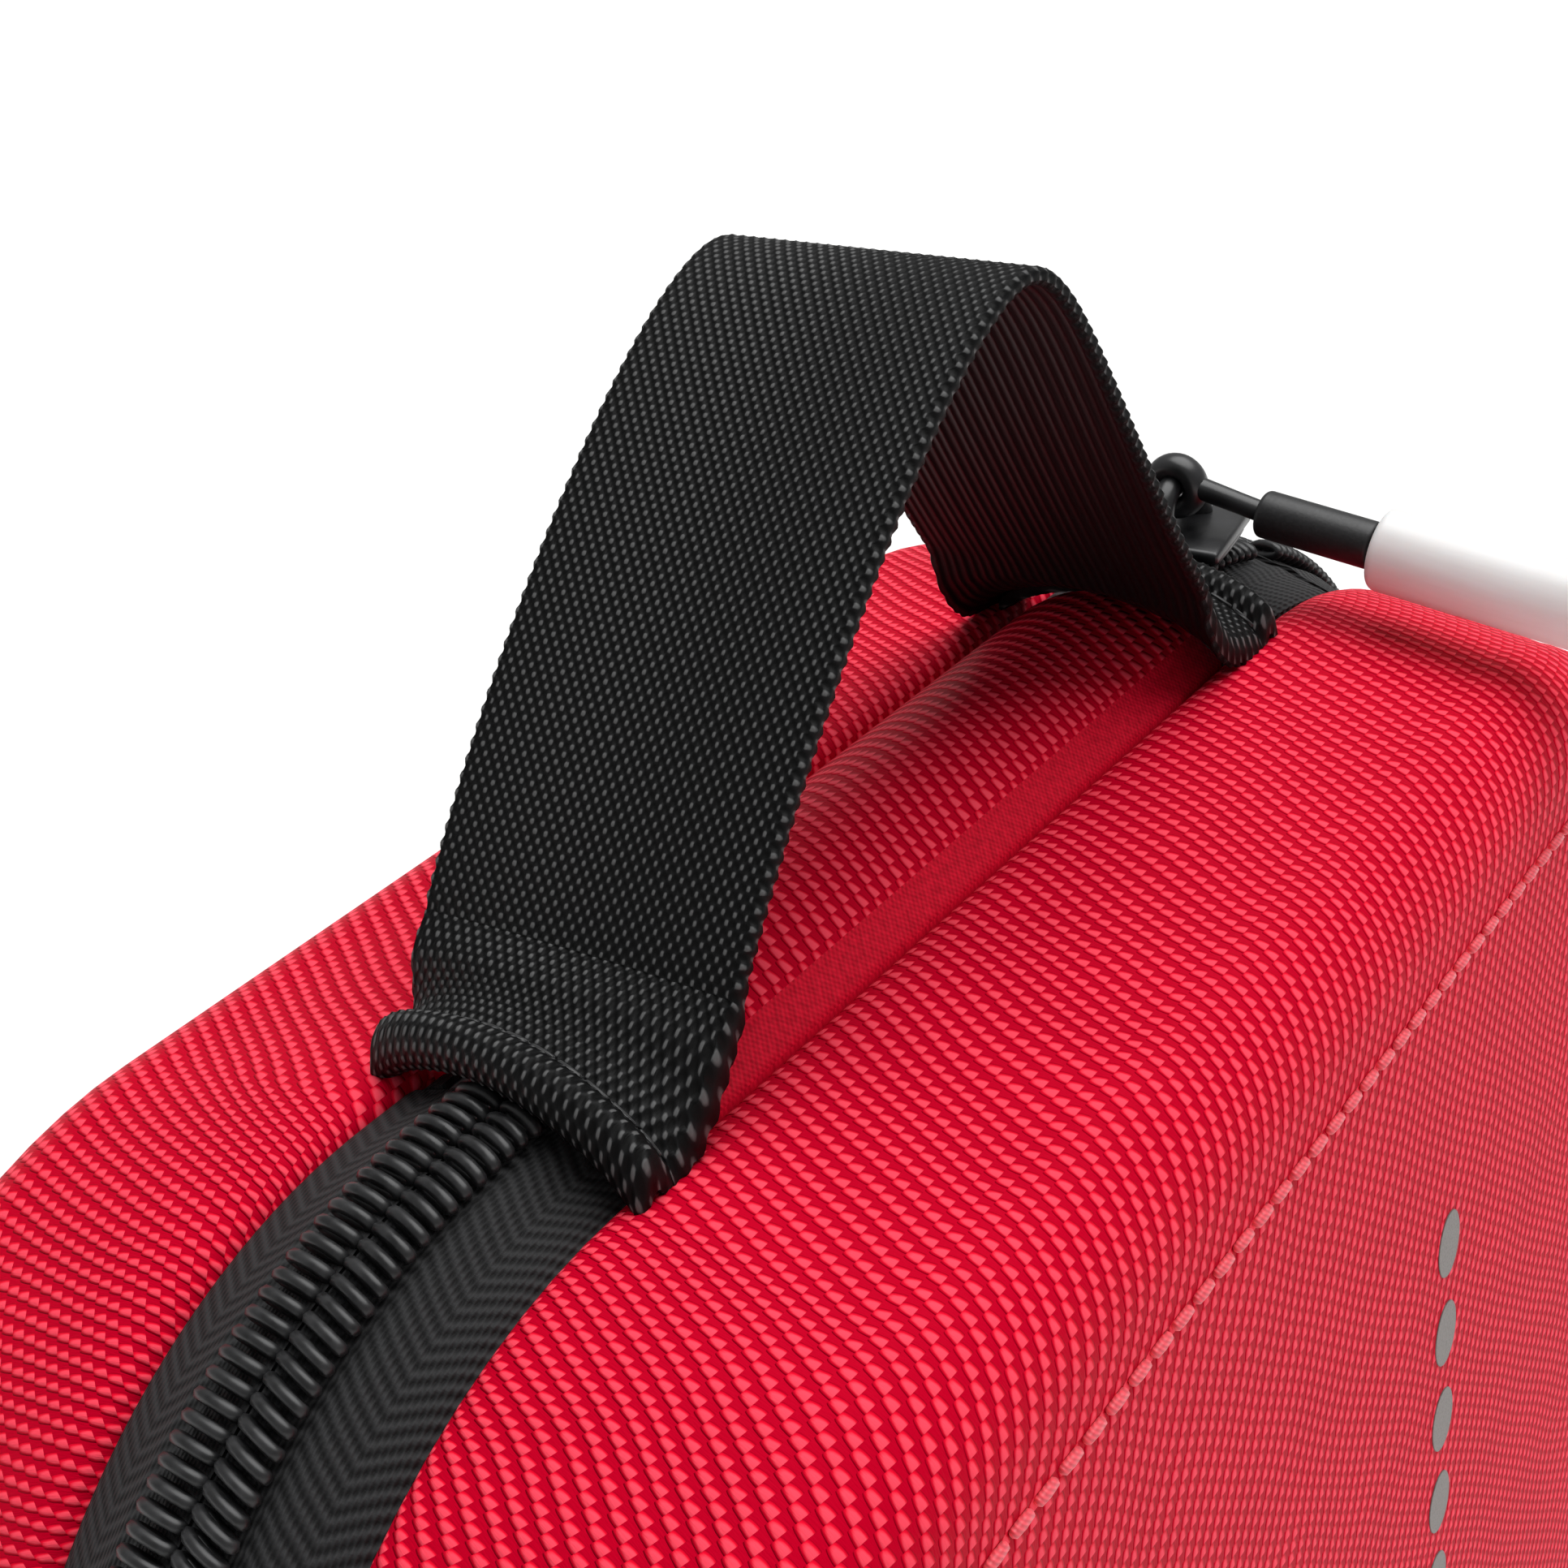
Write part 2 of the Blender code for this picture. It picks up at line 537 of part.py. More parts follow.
blanket_front = BLANKET_AT[1] - BLANKET[1] / 2
for name, x in (("left", -0.040), ("right", 0.040)):
    bm = box_bmesh(PULL_TAPE, (x, blanket_front - CLEAR - PULL_TAPE[1] / 2, 0.0600))
    add_part("pull_tape_" + name, mesh_of(bm, "pull_tape_" + name), BLACK_WEBBING, case_axis)


def elastic_band(name, z):
    """A flat band from one side of the rear lining, over the blanket, to the other side."""
    turn_x = BLANKET[0] / 2 - BLANKET_ROUND
    turn_y = blanket_front + BLANKET_ROUND
    radius = BLANKET_ROUND + BAND_T / 2 + 0.0005
    route = [(-BAND_ANCHOR[0], BAND_ANCHOR[1])]
    for step in range(4):
        angle = math.radians(180 + 30 * step)
        route.append((-turn_x + radius * math.cos(angle), turn_y + radius * math.sin(angle)))
    route += [(-x, y) for x, y in reversed(route)]
    bm = bmesh.new()
    line = [bm.verts.new((x, y, z - BAND_W / 2)) for x, y in route]
    edges = [bm.edges.new(pair) for pair in zip(line, line[1:])]
    lifted = bmesh.ops.extrude_edge_only(bm, edges=edges)
    bmesh.ops.translate(bm, verts=[v for v in lifted["geom"] if isinstance(v, bmesh.types.BMVert)],
                        vec=(0.0, 0.0, BAND_W))
    mesh = mesh_of(bm, name)
    ob = add_part(name, mesh, BLACK_WEBBING, case_axis)
    solidify(ob, BAND_T, 0.0)


elastic_band("elastic_band_lower", 0.115)
elastic_band("elastic_band_upper", 0.190)
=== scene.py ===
import json
import math
import bmesh
import bpy
import numpy as np
from mathutils import Matrix, Vector


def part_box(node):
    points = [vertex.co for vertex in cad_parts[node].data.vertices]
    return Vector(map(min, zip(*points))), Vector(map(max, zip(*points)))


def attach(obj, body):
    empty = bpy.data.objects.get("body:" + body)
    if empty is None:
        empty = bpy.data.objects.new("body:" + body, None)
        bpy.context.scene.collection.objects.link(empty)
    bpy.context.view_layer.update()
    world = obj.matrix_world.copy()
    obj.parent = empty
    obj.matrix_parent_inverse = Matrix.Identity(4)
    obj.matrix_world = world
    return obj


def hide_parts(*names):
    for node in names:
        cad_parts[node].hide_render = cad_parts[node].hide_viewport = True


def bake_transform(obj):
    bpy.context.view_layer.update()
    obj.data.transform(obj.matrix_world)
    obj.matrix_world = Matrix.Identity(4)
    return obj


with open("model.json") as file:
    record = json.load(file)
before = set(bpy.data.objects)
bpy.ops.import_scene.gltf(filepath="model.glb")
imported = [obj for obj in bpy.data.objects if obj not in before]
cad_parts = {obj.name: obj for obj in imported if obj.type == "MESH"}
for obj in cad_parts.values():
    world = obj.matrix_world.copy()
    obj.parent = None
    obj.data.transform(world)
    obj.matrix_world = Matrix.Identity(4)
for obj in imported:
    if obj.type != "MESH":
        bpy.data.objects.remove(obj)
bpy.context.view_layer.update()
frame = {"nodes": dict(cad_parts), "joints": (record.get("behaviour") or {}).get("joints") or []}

# ---- Studio ---------------------------------------------------------------------------------
# A large pale floor under a soft white sky, with one broad light high over the case, a little
# towards its far end and its front. The camera looks down along the zip from the near end.
def linear(hex_colour):
    """An sRGB hex colour as linear RGBA."""
    values = [int(hex_colour[k:k + 2], 16) / 255 for k in (1, 3, 5)]
    return tuple(v / 12.92 if v <= 0.04045 else ((v + 0.055) / 1.055) ** 2.4 for v in values) + (1.0,)


def add(tree, kind, links=None, **settings):
    """Adds a shader node with its settings; links gives each input a node, a socket or a value."""
    node = tree.nodes.new("ShaderNode" + kind)
    for key, value in settings.items():
        setattr(node, key, value)
    for key, source in (links or {}).items():
        if isinstance(source, bpy.types.Node):
            source = source.outputs[0]
        if isinstance(source, bpy.types.NodeSocket):
            tree.links.new(source, node.inputs[key])
        else:
            node.inputs[key].default_value = source
    return node


def new_material(name, colour, roughness, **shader_settings):
    """A material with a Principled shader, whose constant settings are given by socket name."""
    material = bpy.data.materials.new(name)
    material.use_nodes = True
    tree = material.node_tree
    tree.nodes.clear()
    shader = add(tree, "BsdfPrincipled", {"Base Color": linear(colour), "Roughness": roughness})
    for key, value in shader_settings.items():
        shader.inputs[key.replace("_", " ").title().replace("Ior", "IOR")].default_value = value
    add(tree, "OutputMaterial", {"Surface": shader})
    return material, tree


def surfaced(material, colour, relief, strength, depth, gloss=None):
    """Joins a material's colour, its relief, as deep as depth in metres, and its roughness."""
    tree = material.node_tree
    shader = tree.nodes["Principled BSDF"]
    bump = add(tree, "Bump", {"Height": relief, "Strength": strength, "Distance": depth})
    tree.links.new(colour.outputs[0], shader.inputs["Base Color"])
    tree.links.new(bump.outputs[0], shader.inputs["Normal"])
    if gloss:
        tree.links.new(gloss.outputs[0], shader.inputs["Roughness"])
    return material


scene = bpy.context.scene
camera_data = bpy.data.cameras.new("camera")
camera_data.sensor_width = 36.0
camera_data.lens = 58.765
camera_data.clip_start = 0.01
camera = bpy.data.objects.new("camera", camera_data)
scene.collection.objects.link(camera)
camera_right = Vector((0.56319, -0.82136, -0.09053))
camera_up = Vector((0.43165, 0.19900, 0.87982))
camera_back = camera_right.cross(camera_up)
camera.matrix_world = Matrix.Translation((-0.15911, -0.10628, 0.36795)) @ Matrix(
    (camera_right, camera_up, camera_back)).transposed().to_4x4()
scene.camera = camera
scene.view_settings.view_transform = "Standard"

world = bpy.data.worlds.new("studio")
world.use_nodes = True
scene.world = world
sky = world.node_tree.nodes["Background"]
sky.inputs["Color"].default_value = linear("#ffffff")
sky.inputs["Strength"].default_value = 0.32
light_data = bpy.data.lights.new("key_light", "SUN")
light_data.energy = 3.05
light_data.angle = math.radians(62)
light = bpy.data.objects.new("key_light", light_data)
light.rotation_euler = Vector((-0.38, 0.10, -1.30)).to_track_quat("-Z", "Y").to_euler()
scene.collection.objects.link(light)

bpy.ops.object.select_all(action="DESELECT")
bpy.ops.mesh.primitive_plane_add(size=24.0, location=(0.0, 0.0, -0.0005))
floor = bpy.context.object
floor.name = "floor"
floor_paint, tree = new_material("matt_white_paint_rolled", "#f4f4f3", 0.9)
grain = add(tree, "TexNoise", {"Vector": add(tree, "TexCoord").outputs["Object"], "Scale": 60.0})
tint = add(tree, "MixRGB", {"Fac": grain, "Color1": linear("#f1f1f0"), "Color2": linear("#f8f8f7")})
tree.links.new(tint.outputs[0], tree.nodes["Principled BSDF"].inputs["Base Color"])
floor.data.materials.append(floor_paint)
bpy.ops.object.transform_apply(location=True, rotation=True, scale=True)

# ---- Shell covers ---------------------------------------------------------------------------
# The case's two halves: ballistic nylon bonded to foam and moulded as one tray each. The cloth
# runs from the face over the edge round and the wall, and rolls in at the rim, where the zip's
# tape is sewn under it.
seam_y = next(j["pos_m"][1] for j in frame["joints"] if j["name"] == "handle_tilt")
shell_low, shell_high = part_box("front_shell")
case_top = shell_high.z
case_base = shell_low.z
half_w = (shell_high.x - shell_low.x) / 2
face_y = seam_y - shell_low.y
corner_r = 0.0475
core_x = half_w - corner_r
core_z = (case_top - case_base) / 2 - corner_r
mid_z = (case_top + case_base) / 2


def outline(corner_steps, across_steps, down_steps):
    """Core point and outward direction for each step round the case's outline, anticlockwise."""
    points = []
    for corner, (sx, sz) in enumerate(((1, 1), (-1, 1), (-1, -1), (1, -1))):
        for step in range(corner_steps):
            angle = math.radians(90 * (corner + step / corner_steps))
            points.append((sx * core_x, mid_z + sz * core_z, math.cos(angle), math.sin(angle)))
        angle = math.radians(90 * (corner + 1))
        nx, nz = round(math.cos(angle), 9), round(math.sin(angle), 9)
        steps = across_steps if corner % 2 == 0 else down_steps
        for step in range(steps):
            share = step / steps
            x = sx * core_x * (1 - 2 * share) if corner % 2 == 0 else sx * core_x
            z = sz * core_z * (1 - 2 * share) if corner % 2 == 1 else sz * core_z
            points.append((x, mid_z + z, nx, nz))
    return np.array(points)


def wrapped(name, around, along, place, measure, tube=True):
    """A grid wrapped into a tube with closed ends, or left as a sheet.

    place gives each vertex from its two shares of the grid, and measure its cloth coordinates
    in millimetres. Wide end faces take theirs from x and z.
    """
    bpy.ops.object.select_all(action="DESELECT")
    bpy.ops.mesh.primitive_grid_add(x_subdivisions=around, y_subdivisions=along, size=2.0)
    piece = bpy.context.object
    piece.name = piece.data.name = name
    mesh = piece.data
    flat = np.empty(len(mesh.vertices) * 3)
    mesh.vertices.foreach_get("co", flat)
    share = (flat.reshape(-1, 3)[:, :2] + 1.0) / 2.0
    mesh.vertices.foreach_set("co", place(share[:, 0], share[:, 1]).ravel())
    layer = mesh.uv_layers[0]
    layer.name = "cloth"
    corners = np.empty(len(mesh.loops), int)
    mesh.loops.foreach_get("vertex_index", corners)
    layer.uv.foreach_set("vector", measure(share[corners, 0], share[corners, 1]).ravel())
    mesh.update()
    if tube:
        bpy.ops.object.mode_set(mode="EDIT")
        bpy.ops.mesh.select_all(action="SELECT")
        bpy.ops.mesh.remove_doubles(threshold=0.0000005)
        bpy.ops.mesh.select_all(action="SELECT")
        bpy.ops.mesh.fill_holes(sides=0)
        bpy.ops.mesh.select_all(action="SELECT")
        bpy.ops.mesh.normals_make_consistent(inside=False)
        bpy.ops.object.mode_set(mode="OBJECT")
        for face in piece.data.polygons:
            if len(face.vertices) > 8:
                for loop in face.loop_indices:
                    point = piece.data.vertices[piece.data.loops[loop].vertex_index].co
                    piece.data.uv_layers[0].uv[loop].vector = (point.x * 1000, point.z * 1000)
    return piece


def smooth(piece, degrees=40.0):
    """Shades a piece smooth up to an angle."""
    bpy.ops.object.select_all(action="DESELECT")
    piece.select_set(True)
    bpy.context.view_layer.objects.active = piece
    bpy.ops.object.shade_smooth_by_angle(angle=math.radians(degrees))


# Each station: inset from the rim's outline, share of the wall's lean, distance from the seam.
wall_lean = 0.00245
edge_r = 0.010
edge_y = face_y - edge_r
stitch_groove = 0.0145         # inset of the groove that the topstitching lies in
rim_y = 0.0183                 # the wall starts to lean here
stations = [(0.0180, 1, face_y), (0.0157, 1, face_y), (0.0150, 1, face_y - 0.0001),
            (stitch_groove, 1, face_y - 0.00025), (0.0140, 1, face_y - 0.0001), (0.0133, 1, face_y),
            (0.0115, 1, face_y)]
for step in range(13):
    turn = math.radians(90 * step / 12)
    stations.append((edge_r * (1 - math.sin(turn)), 1, edge_y + edge_r * math.cos(turn)))
for step in range(1, 9):
    share = step / 8
    stations.append((0.0, (1 - share) ** 1.25, edge_y - (edge_y - 0.0160) * share))
rim_roll = [(0.00005, 0.0148), (0.0002, 0.0138), (0.0005, 0.0130), (0.0010, 0.0124), (0.0016, 0.0120),
            (0.0023, 0.01185), (0.0031, 0.0120), (0.0037, 0.0125), (0.0040, 0.0133)]
stations += [(inset, 0, y) for inset, y in rim_roll]
stations += [(0.0040, 0, 0.0180), (0.0040, 1, edge_y), (0.0052, 1, face_y - 0.0062),
             (0.0080, 1, face_y - 0.0042), (0.0110, 1, face_y - 0.0040), (0.0180, 1, face_y - 0.0040)]
stations = np.array(stations)
ring = outline(20, 24, 22)


def unrolled(stations):
    """Each station's inset if the cloth were peeled off and laid flat in the face's plane."""
    inset = stations[:, 0] + wall_lean * stations[:, 1]
    run = np.hypot(np.diff(inset), np.diff(stations[:, 2]))
    flat = inset.copy()
    turn_at = int(np.argmax(stations[:, 0] <= edge_r + 0.000001))
    for k in range(turn_at + 1, len(flat)):
        flat[k] = flat[k - 1] - run[k - 1]
    return flat


flat_inset = unrolled(stations)


def ballistic_nylon():
    """Ballistic nylon woven from thick bundles: ribs of arrowhead floats with a soft filament gloss. Its
    colour is
    painted by weave height: a coral painted highlight on each float and deeper red painted shade in the
    valley between one rib and the next."""
    material, tree = new_material("ballistic_nylon_woven_red", "#d4112f", 0.46, specular_ior_level=0.05,
                                  specular_tint=linear("#ff5560"))
    cloth = add(tree, "UVMap", uv_map="cloth")
    drift = add(tree, "TexNoise", {"Vector": cloth, "Scale": 0.045, "Detail": 1.0})
    place = add(tree, "SeparateXYZ", {0: cloth})
    u, v = place.outputs[0], place.outputs[1]
    # Ribs 1.86 mm apart, leaning 0.42 along for each 1 across, in steps of one float.
    float_long, rib_half = 1.16, 0.93
    steps = add(tree, "Math", {0: v, 1: float_long}, operation="SNAP")
    lean = add(tree, "Math", {0: steps, 1: -0.42, 2: u}, operation="MULTIPLY_ADD")
    bent = add(tree, "Math", {0: drift, 1: 3.2, 2: lean}, operation="MULTIPLY_ADD")
    rib = add(tree, "Math", {0: bent, 1: rib_half}, operation="PINGPONG")
    off = add(tree, "Math", {0: rib, 1: 0.60}, operation="DIVIDE")
    past = add(tree, "Math", {0: v, 1: steps}, operation="SUBTRACT")
    length = add(tree, "Math", {0: past, 1: 2 / float_long, 2: -1.0}, operation="MULTIPLY_ADD")
    # Each float is a dome, round across the rib and blunt along it, over a low crosswise float.
    square = add(tree, "Math", {0: off, 1: off}, operation="MULTIPLY")
    reach = add(tree, "Math", {0: length}, operation="ABSOLUTE")
    ends = add(tree, "Math", {0: reach, 1: 3.0}, operation="POWER")
    slant = add(tree, "Math", {0: length, 1: 0.30, 2: square}, operation="MULTIPLY_ADD")
    fallen = add(tree, "Math", {0: ends, 1: 0.18, 2: slant}, operation="MULTIPLY_ADD")
    inside = add(tree, "Math", {0: 1.0, 1: fallen}, operation="SUBTRACT")
    rounded = add(tree, "Math", {0: inside, 1: 0.0}, operation="MAXIMUM")
    dome = add(tree, "Math", {0: rounded, 1: 0.5}, operation="POWER")
    # Filaments, 0.14 mm apart along the ribs, so faint that they only break up the gloss.
    drawn = add(tree, "Mapping", {"Vector": cloth, "Scale": (7.0, 1.1, 1.0)})
    threads = add(tree, "TexNoise", {"Vector": drawn, "Scale": 1.0, "Detail": 2.0})
    relief = add(tree, "Math", {0: threads, 1: 0.12, 2: dome}, operation="MULTIPLY_ADD")
    # Colour by weave height: painted coral highlight on the float crowns, painted deeper red shade in the
    # valleys, over the cloth's own red.
    tone = add(tree, "ValToRGB", {0: relief})
    ramp = tone.color_ramp
    ramp.elements[0].position, ramp.elements[0].color = 0.08, linear("#c00024")
    ramp.elements[1].position, ramp.elements[1].color = 1.00, linear("#ff4a5e")
    for position, colour in ((0.42, "#c80024"), (0.80, "#ea0e2f")):
        ramp.elements.new(position).color = linear(colour)
    patches = add(tree, "TexNoise", {"Vector": cloth, "Scale": 0.11, "Detail": 2.0})
    shade = add(tree, "Math", {0: patches, 1: 0.14, 2: 0.93}, operation="MULTIPLY_ADD")
    colour = add(tree, "MixRGB", {"Fac": 1.0, "Color1": tone, "Color2": shade}, blend_type="MULTIPLY")
    gloss = add(tree, "Math", {0: threads, 1: 0.20, 2: 0.42}, operation="MULTIPLY_ADD")
    return surfaced(material, colour, relief, 1.0, 0.00040, gloss)


red_cloth = ballistic_nylon()
cover_ring = len(ring)
cover_rows = len(stations) - 1
halves = (("rear", 1), ("front", -1))
for half, side in halves:
    # The rear half is cut a little more on the bias than the front.
    bias = 0.26 if side > 0 else 0.0

    def place(u, v):
        spot = ring[np.rint(u * cover_ring).astype(int) % cover_ring]
        station = stations[np.rint(v * cover_rows).astype(int)]
        # The base doesn't lean, so that the case stands flat.
        lean_share = station[:, 1] * np.where(station[:, 2] > rim_y, 1 + np.minimum(0, spot[:, 3]), 1.0)
        radius = corner_r - station[:, 0] - wall_lean * lean_share
        return np.stack((spot[:, 0] + spot[:, 2] * radius, seam_y + side * station[:, 2],
                         spot[:, 1] + spot[:, 3] * radius), axis=1)

    def measure(u, v):
        spot = ring[np.rint(u * cover_ring).astype(int) % cover_ring]
        radius = corner_r - flat_inset[np.rint(v * cover_rows).astype(int)]
        along = spot[:, 0] + spot[:, 2] * radius
        across = spot[:, 1] + spot[:, 3] * radius
        return np.stack((along + bias * across, -side * across), axis=1) * 1000

    cover = wrapped(half + "_cover", cover_ring, cover_rows, place, measure)
    for face in cover.data.polygons:
        if len(face.vertices) > 8:
            for loop in face.loop_indices:
                uv = cover.data.uv_layers[0].uv[loop]
                uv.vector = (uv.vector[0] + bias * uv.vector[1], -side * uv.vector[1])
    smooth(cover, 50.0)
    cover.data.materials.append(red_cloth)
    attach(cover, half + "_half")
    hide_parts(half + "_shell")

# ---- Topstitching ---------------------------------------------------------------------------
# One line of thick polyester thread round each face, just inside the edge round, that holds the
# bonded cloth to the foam. The stitches are 3.4 mm apart and pull into a shallow groove.
def repeated(name, pattern, places):
    """One mesh that holds the pattern's shape at each of the places, and removes the pattern."""
    joined = bmesh.new()
    for matrix in places:
        copy = pattern.data.copy()
        copy.transform(matrix)
        joined.from_mesh(copy)
        bpy.data.meshes.remove(copy)
    mesh = bpy.data.meshes.new(name)
    joined.to_mesh(mesh)
    joined.free()
    piece = bpy.data.objects.new(name, mesh)
    scene.collection.objects.link(piece)
    bpy.data.objects.remove(pattern)
    return piece


def stitch_pattern(long, radius):
    """A capsule of thread along X."""
    bpy.ops.object.select_all(action="DESELECT")
    bpy.ops.mesh.primitive_uv_sphere_add(segments=8, ring_count=6, radius=radius,
                                         rotation=(0.0, math.pi / 2, 0.0))
    pattern = bpy.context.object
    bpy.ops.object.transform_apply(location=True, rotation=True, scale=True)
    for vert in pattern.data.vertices:
        if abs(vert.co.x) > radius * 0.1:
            vert.co.x += math.copysign(long / 2 - radius, vert.co.x)
    for face in pattern.data.polygons:
        face.use_smooth = True
    return pattern


def along_line(points, pitch, up):
    """Matrices spaced along a line of points: X follows the line and Z is the given direction."""
    points = [Vector(p) for p in points]
    places = []
    left = pitch / 2
    for a, b in zip(points, points[1:]):
        run = (b - a).length
        while left <= run:
            spot = a.lerp(b, left / run)
            x_axis = (b - a).normalized()
            z_axis = (Vector(up) - x_axis * x_axis.dot(Vector(up))).normalized()
            frame_matrix = Matrix((x_axis, z_axis.cross(x_axis), z_axis)).transposed().to_4x4()
            places.append(Matrix.Translation(spot) @ frame_matrix)
            left += pitch
        left -= run
    return places


def sewing_thread(name, colour):
    """Bonded polyester thread, three-ply: a satin gloss with the plies' fine slanting lines."""
    material, tree = new_material(name, colour, 0.42, sheen_weight=0.2)
    turn = add(tree, "Mapping", {"Vector": add(tree, "TexCoord").outputs["Object"],
                                 "Rotation": (0.4, 0.7, 0.6)})
    plies = add(tree, "TexWave", {"Vector": turn, "Scale": 900.0, "Distortion": 1.0})
    shade = add(tree, "Math", {0: plies, 1: 0.3, 2: 0.75}, operation="MULTIPLY_ADD")
    dark = add(tree, "MixRGB", {"Fac": 1.0, "Color1": linear(colour), "Color2": shade}, blend_type="MULTIPLY")
    return surfaced(material, dark, plies, 0.6, 0.00008)


red_thread = sewing_thread("polyester_thread_bonded_red", "#ff5a68")
for half, side in halves:
    path = []
    for cx, cz, nx, nz in ring:
        radius = corner_r - (stitch_groove + wall_lean) - wall_lean * min(0, nz)
        path.append((cx + nx * radius, seam_y + side * (face_y + 0.00008), cz + nz * radius))
    path.append(path[0])
    stitches = repeated(half + "_topstitch", stitch_pattern(0.0027, 0.00050),
                        along_line(path, 0.0034, (0.0, side, 0.0)))
    stitches.data.materials.append(red_thread)
    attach(stitches, half + "_half")

# ---- Reflective dots ------------------------------------------------------------------------
# A column of grey retro-reflective film dots, heat-pressed on the front face: glass beads in a
# smooth film that only half hides the cloth below.
dot_x, dot_z = 0.0270, case_top - 0.0480
dot_w, dot_h, dot_t = 0.0050, 0.0074, 0.00016
dot_pitch, dot_count = 0.0108, 9


def reflective_film():
    """Retro-reflective film: fine glass beads that give a flat silver grey with a faint grain."""
    material, tree = new_material("reflective_film_pressed_grey", "#77716d", 0.45, metallic=0.35)
    beads = add(tree, "TexVoronoi", {"Vector": add(tree, "TexCoord").outputs["Object"], "Scale": 5000.0})
    tone = add(tree, "MixRGB", {"Fac": beads, "Color1": linear("#827c78"), "Color2": linear("#67615e")})
    return surfaced(material, tone, beads, 0.3, 0.00005)


bpy.ops.object.select_all(action="DESELECT")
bpy.ops.mesh.primitive_cylinder_add(vertices=32, radius=0.5, depth=1.0, rotation=(math.pi / 2, 0.0, 0.0))
dot = bpy.context.object
bpy.ops.object.transform_apply(location=True, rotation=True, scale=True)
dot.data.transform(Matrix.Diagonal((dot_w, dot_t, dot_h, 1.0)))
bpy.ops.object.mode_set(mode="EDIT")
bpy.ops.mesh.select_all(action="SELECT")
bpy.ops.mesh.bevel(offset=0.00005, segments=1)
bpy.ops.object.mode_set(mode="OBJECT")
places = [Matrix.Translation((dot_x, shell_low.y - 0.00004, dot_z - dot_pitch * k)) for k in range(dot_count)]
dots = repeated("reflective_dots", dot, places)
dots.data.materials.append(reflective_film())
smooth(dots, 30.0)
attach(dots, "front_half")

# ---- Spine ----------------------------------------------------------------------------------
# The padded strip that joins the two halves along the top, in the same cloth over thin foam. Its
# front edge is bound with a flat red tape; its back edge dives beside the rear half. Both ends lie
# under the handle's feet.
spine_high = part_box("spine_panel")[1]
spine_half_x = spine_high.x - 0.0040
spine_half_y = spine_high.y - seam_y
spine_wall = 0.0018
hem_y = 0.0084                 # the tape starts this far in front of the zip's plane
spine_rise = spine_high.z - case_top


def spine_height(y):
    """Height above the rims of the strip's outer face, at a distance from its middle line."""
    bow = spine_rise - (spine_rise + 0.0008) * (np.abs(y) / spine_half_y) ** 2.0
    into_hem = np.clip((-y - hem_y) / 0.0006, 0.0, 1.0)
    return bow - 0.00030 * into_hem - 0.00015 * np.clip((-y - hem_y - 0.0003) / 0.003, 0.0, 1.0)


spine_around, spine_along = 68, 90
spine_face = 48                # of the steps round the strip, those on its outer face
edge_bulge = 0.00012


def place(u, v):
    # Out along the face, down round the edge, and back along the underside.
    turn = np.rint(u * spine_around) % spine_around
    across = np.clip(turn / spine_face, 0.0, 1.0)
    back = np.clip((turn - spine_face - 2) / (spine_around - spine_face - 4), 0.0, 1.0)
    top = turn <= spine_face
    under = turn >= spine_face + 2
    far_edge, near_edge = turn == spine_face + 1, turn == spine_around - 1
    y = np.where(top, -spine_half_y + 2 * spine_half_y * across, spine_half_y - 2 * spine_half_y * back)
    y = np.where(far_edge, spine_half_y, np.where(near_edge, -spine_half_y, y))
    edge_out = np.where(far_edge, edge_bulge, np.where(near_edge, -edge_bulge, 0.0))
    drop = np.where(top, 0.0, np.where(under & ~near_edge, spine_wall, spine_wall / 2))
    x = -spine_half_x + 2 * spine_half_x * v
    z = case_top + spine_height(y) - drop
    return np.stack((x, seam_y + y + edge_out, z), axis=1)


def measure(u, v):
    y = -spine_half_y + 2 * spine_half_y * np.clip(u * spine_around / spine_face, 0.0, 1.4)
    x = -spine_half_x + 2 * spine_half_x * v
    # The strip is cut on its own lean, so its ribs run 0.1 further along for each 1 across.
    return np.stack((x - 0.10 * y, y), axis=1) * 1000


spine_cover = wrapped("spine_cover", spine_around, spine_along, place, measure)
smooth(spine_cover, 50.0)
spine_cover.data.materials.append(red_cloth)
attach(spine_cover, "spine")
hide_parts("spine_panel")


def wave(tree, along, spacing, shape="SINE"):
    """A smooth wave along one coordinate of a cloth, with this distance from crest to crest."""
    angle = add(tree, "Math", {0: along, 1: 2 * math.pi / spacing}, operation="MULTIPLY")
    return add(tree, "Math", {0: angle}, operation=shape)


def hem_tape():
    """Nylon binding tape, plain woven and dyed red: too fine and flat for ribs, with a dull gloss."""
    material, tree = new_material("nylon_tape_woven_red", "#d00a2b", 0.55, specular_ior_level=0.08)
    cloth = add(tree, "UVMap", uv_map="cloth")
    place = add(tree, "SeparateXYZ", {0: cloth})
    warp = wave(tree, place.outputs[0], 0.55)
    weft = wave(tree, place.outputs[1], 0.55)
    grid = add(tree, "Math", {0: warp, 1: weft}, operation="MULTIPLY")
    fuzz = add(tree, "TexNoise", {"Vector": cloth, "Scale": 1.6, "Detail": 3.0})
    relief = add(tree, "Math", {0: grid, 1: 0.25, 2: fuzz}, operation="MULTIPLY_ADD")
    tone = add(tree, "ValToRGB", {0: relief})
    deep, bright = tone.color_ramp.elements
    deep.position, deep.color = 0.20, linear("#b00020")
    bright.position, bright.color = 0.85, linear("#ee1436")
    return surfaced(material, tone, relief, 0.6, 0.00012)


spine_cover.data.materials.append(hem_tape())
for face in spine_cover.data.polygons:
    if face.center.y < seam_y - hem_y:
        face.material_index = 1

# ---- Zip tapes ------------------------------------------------------------------------------
# Two woven polyester tapes, one sewn under each rim, in a herringbone weave. They stand proud in
# the middle over the chain's cord and are pressed in along the base.
tape_tuck = 0.0133
zip_from, zip_to = -0.0478, 0.0720


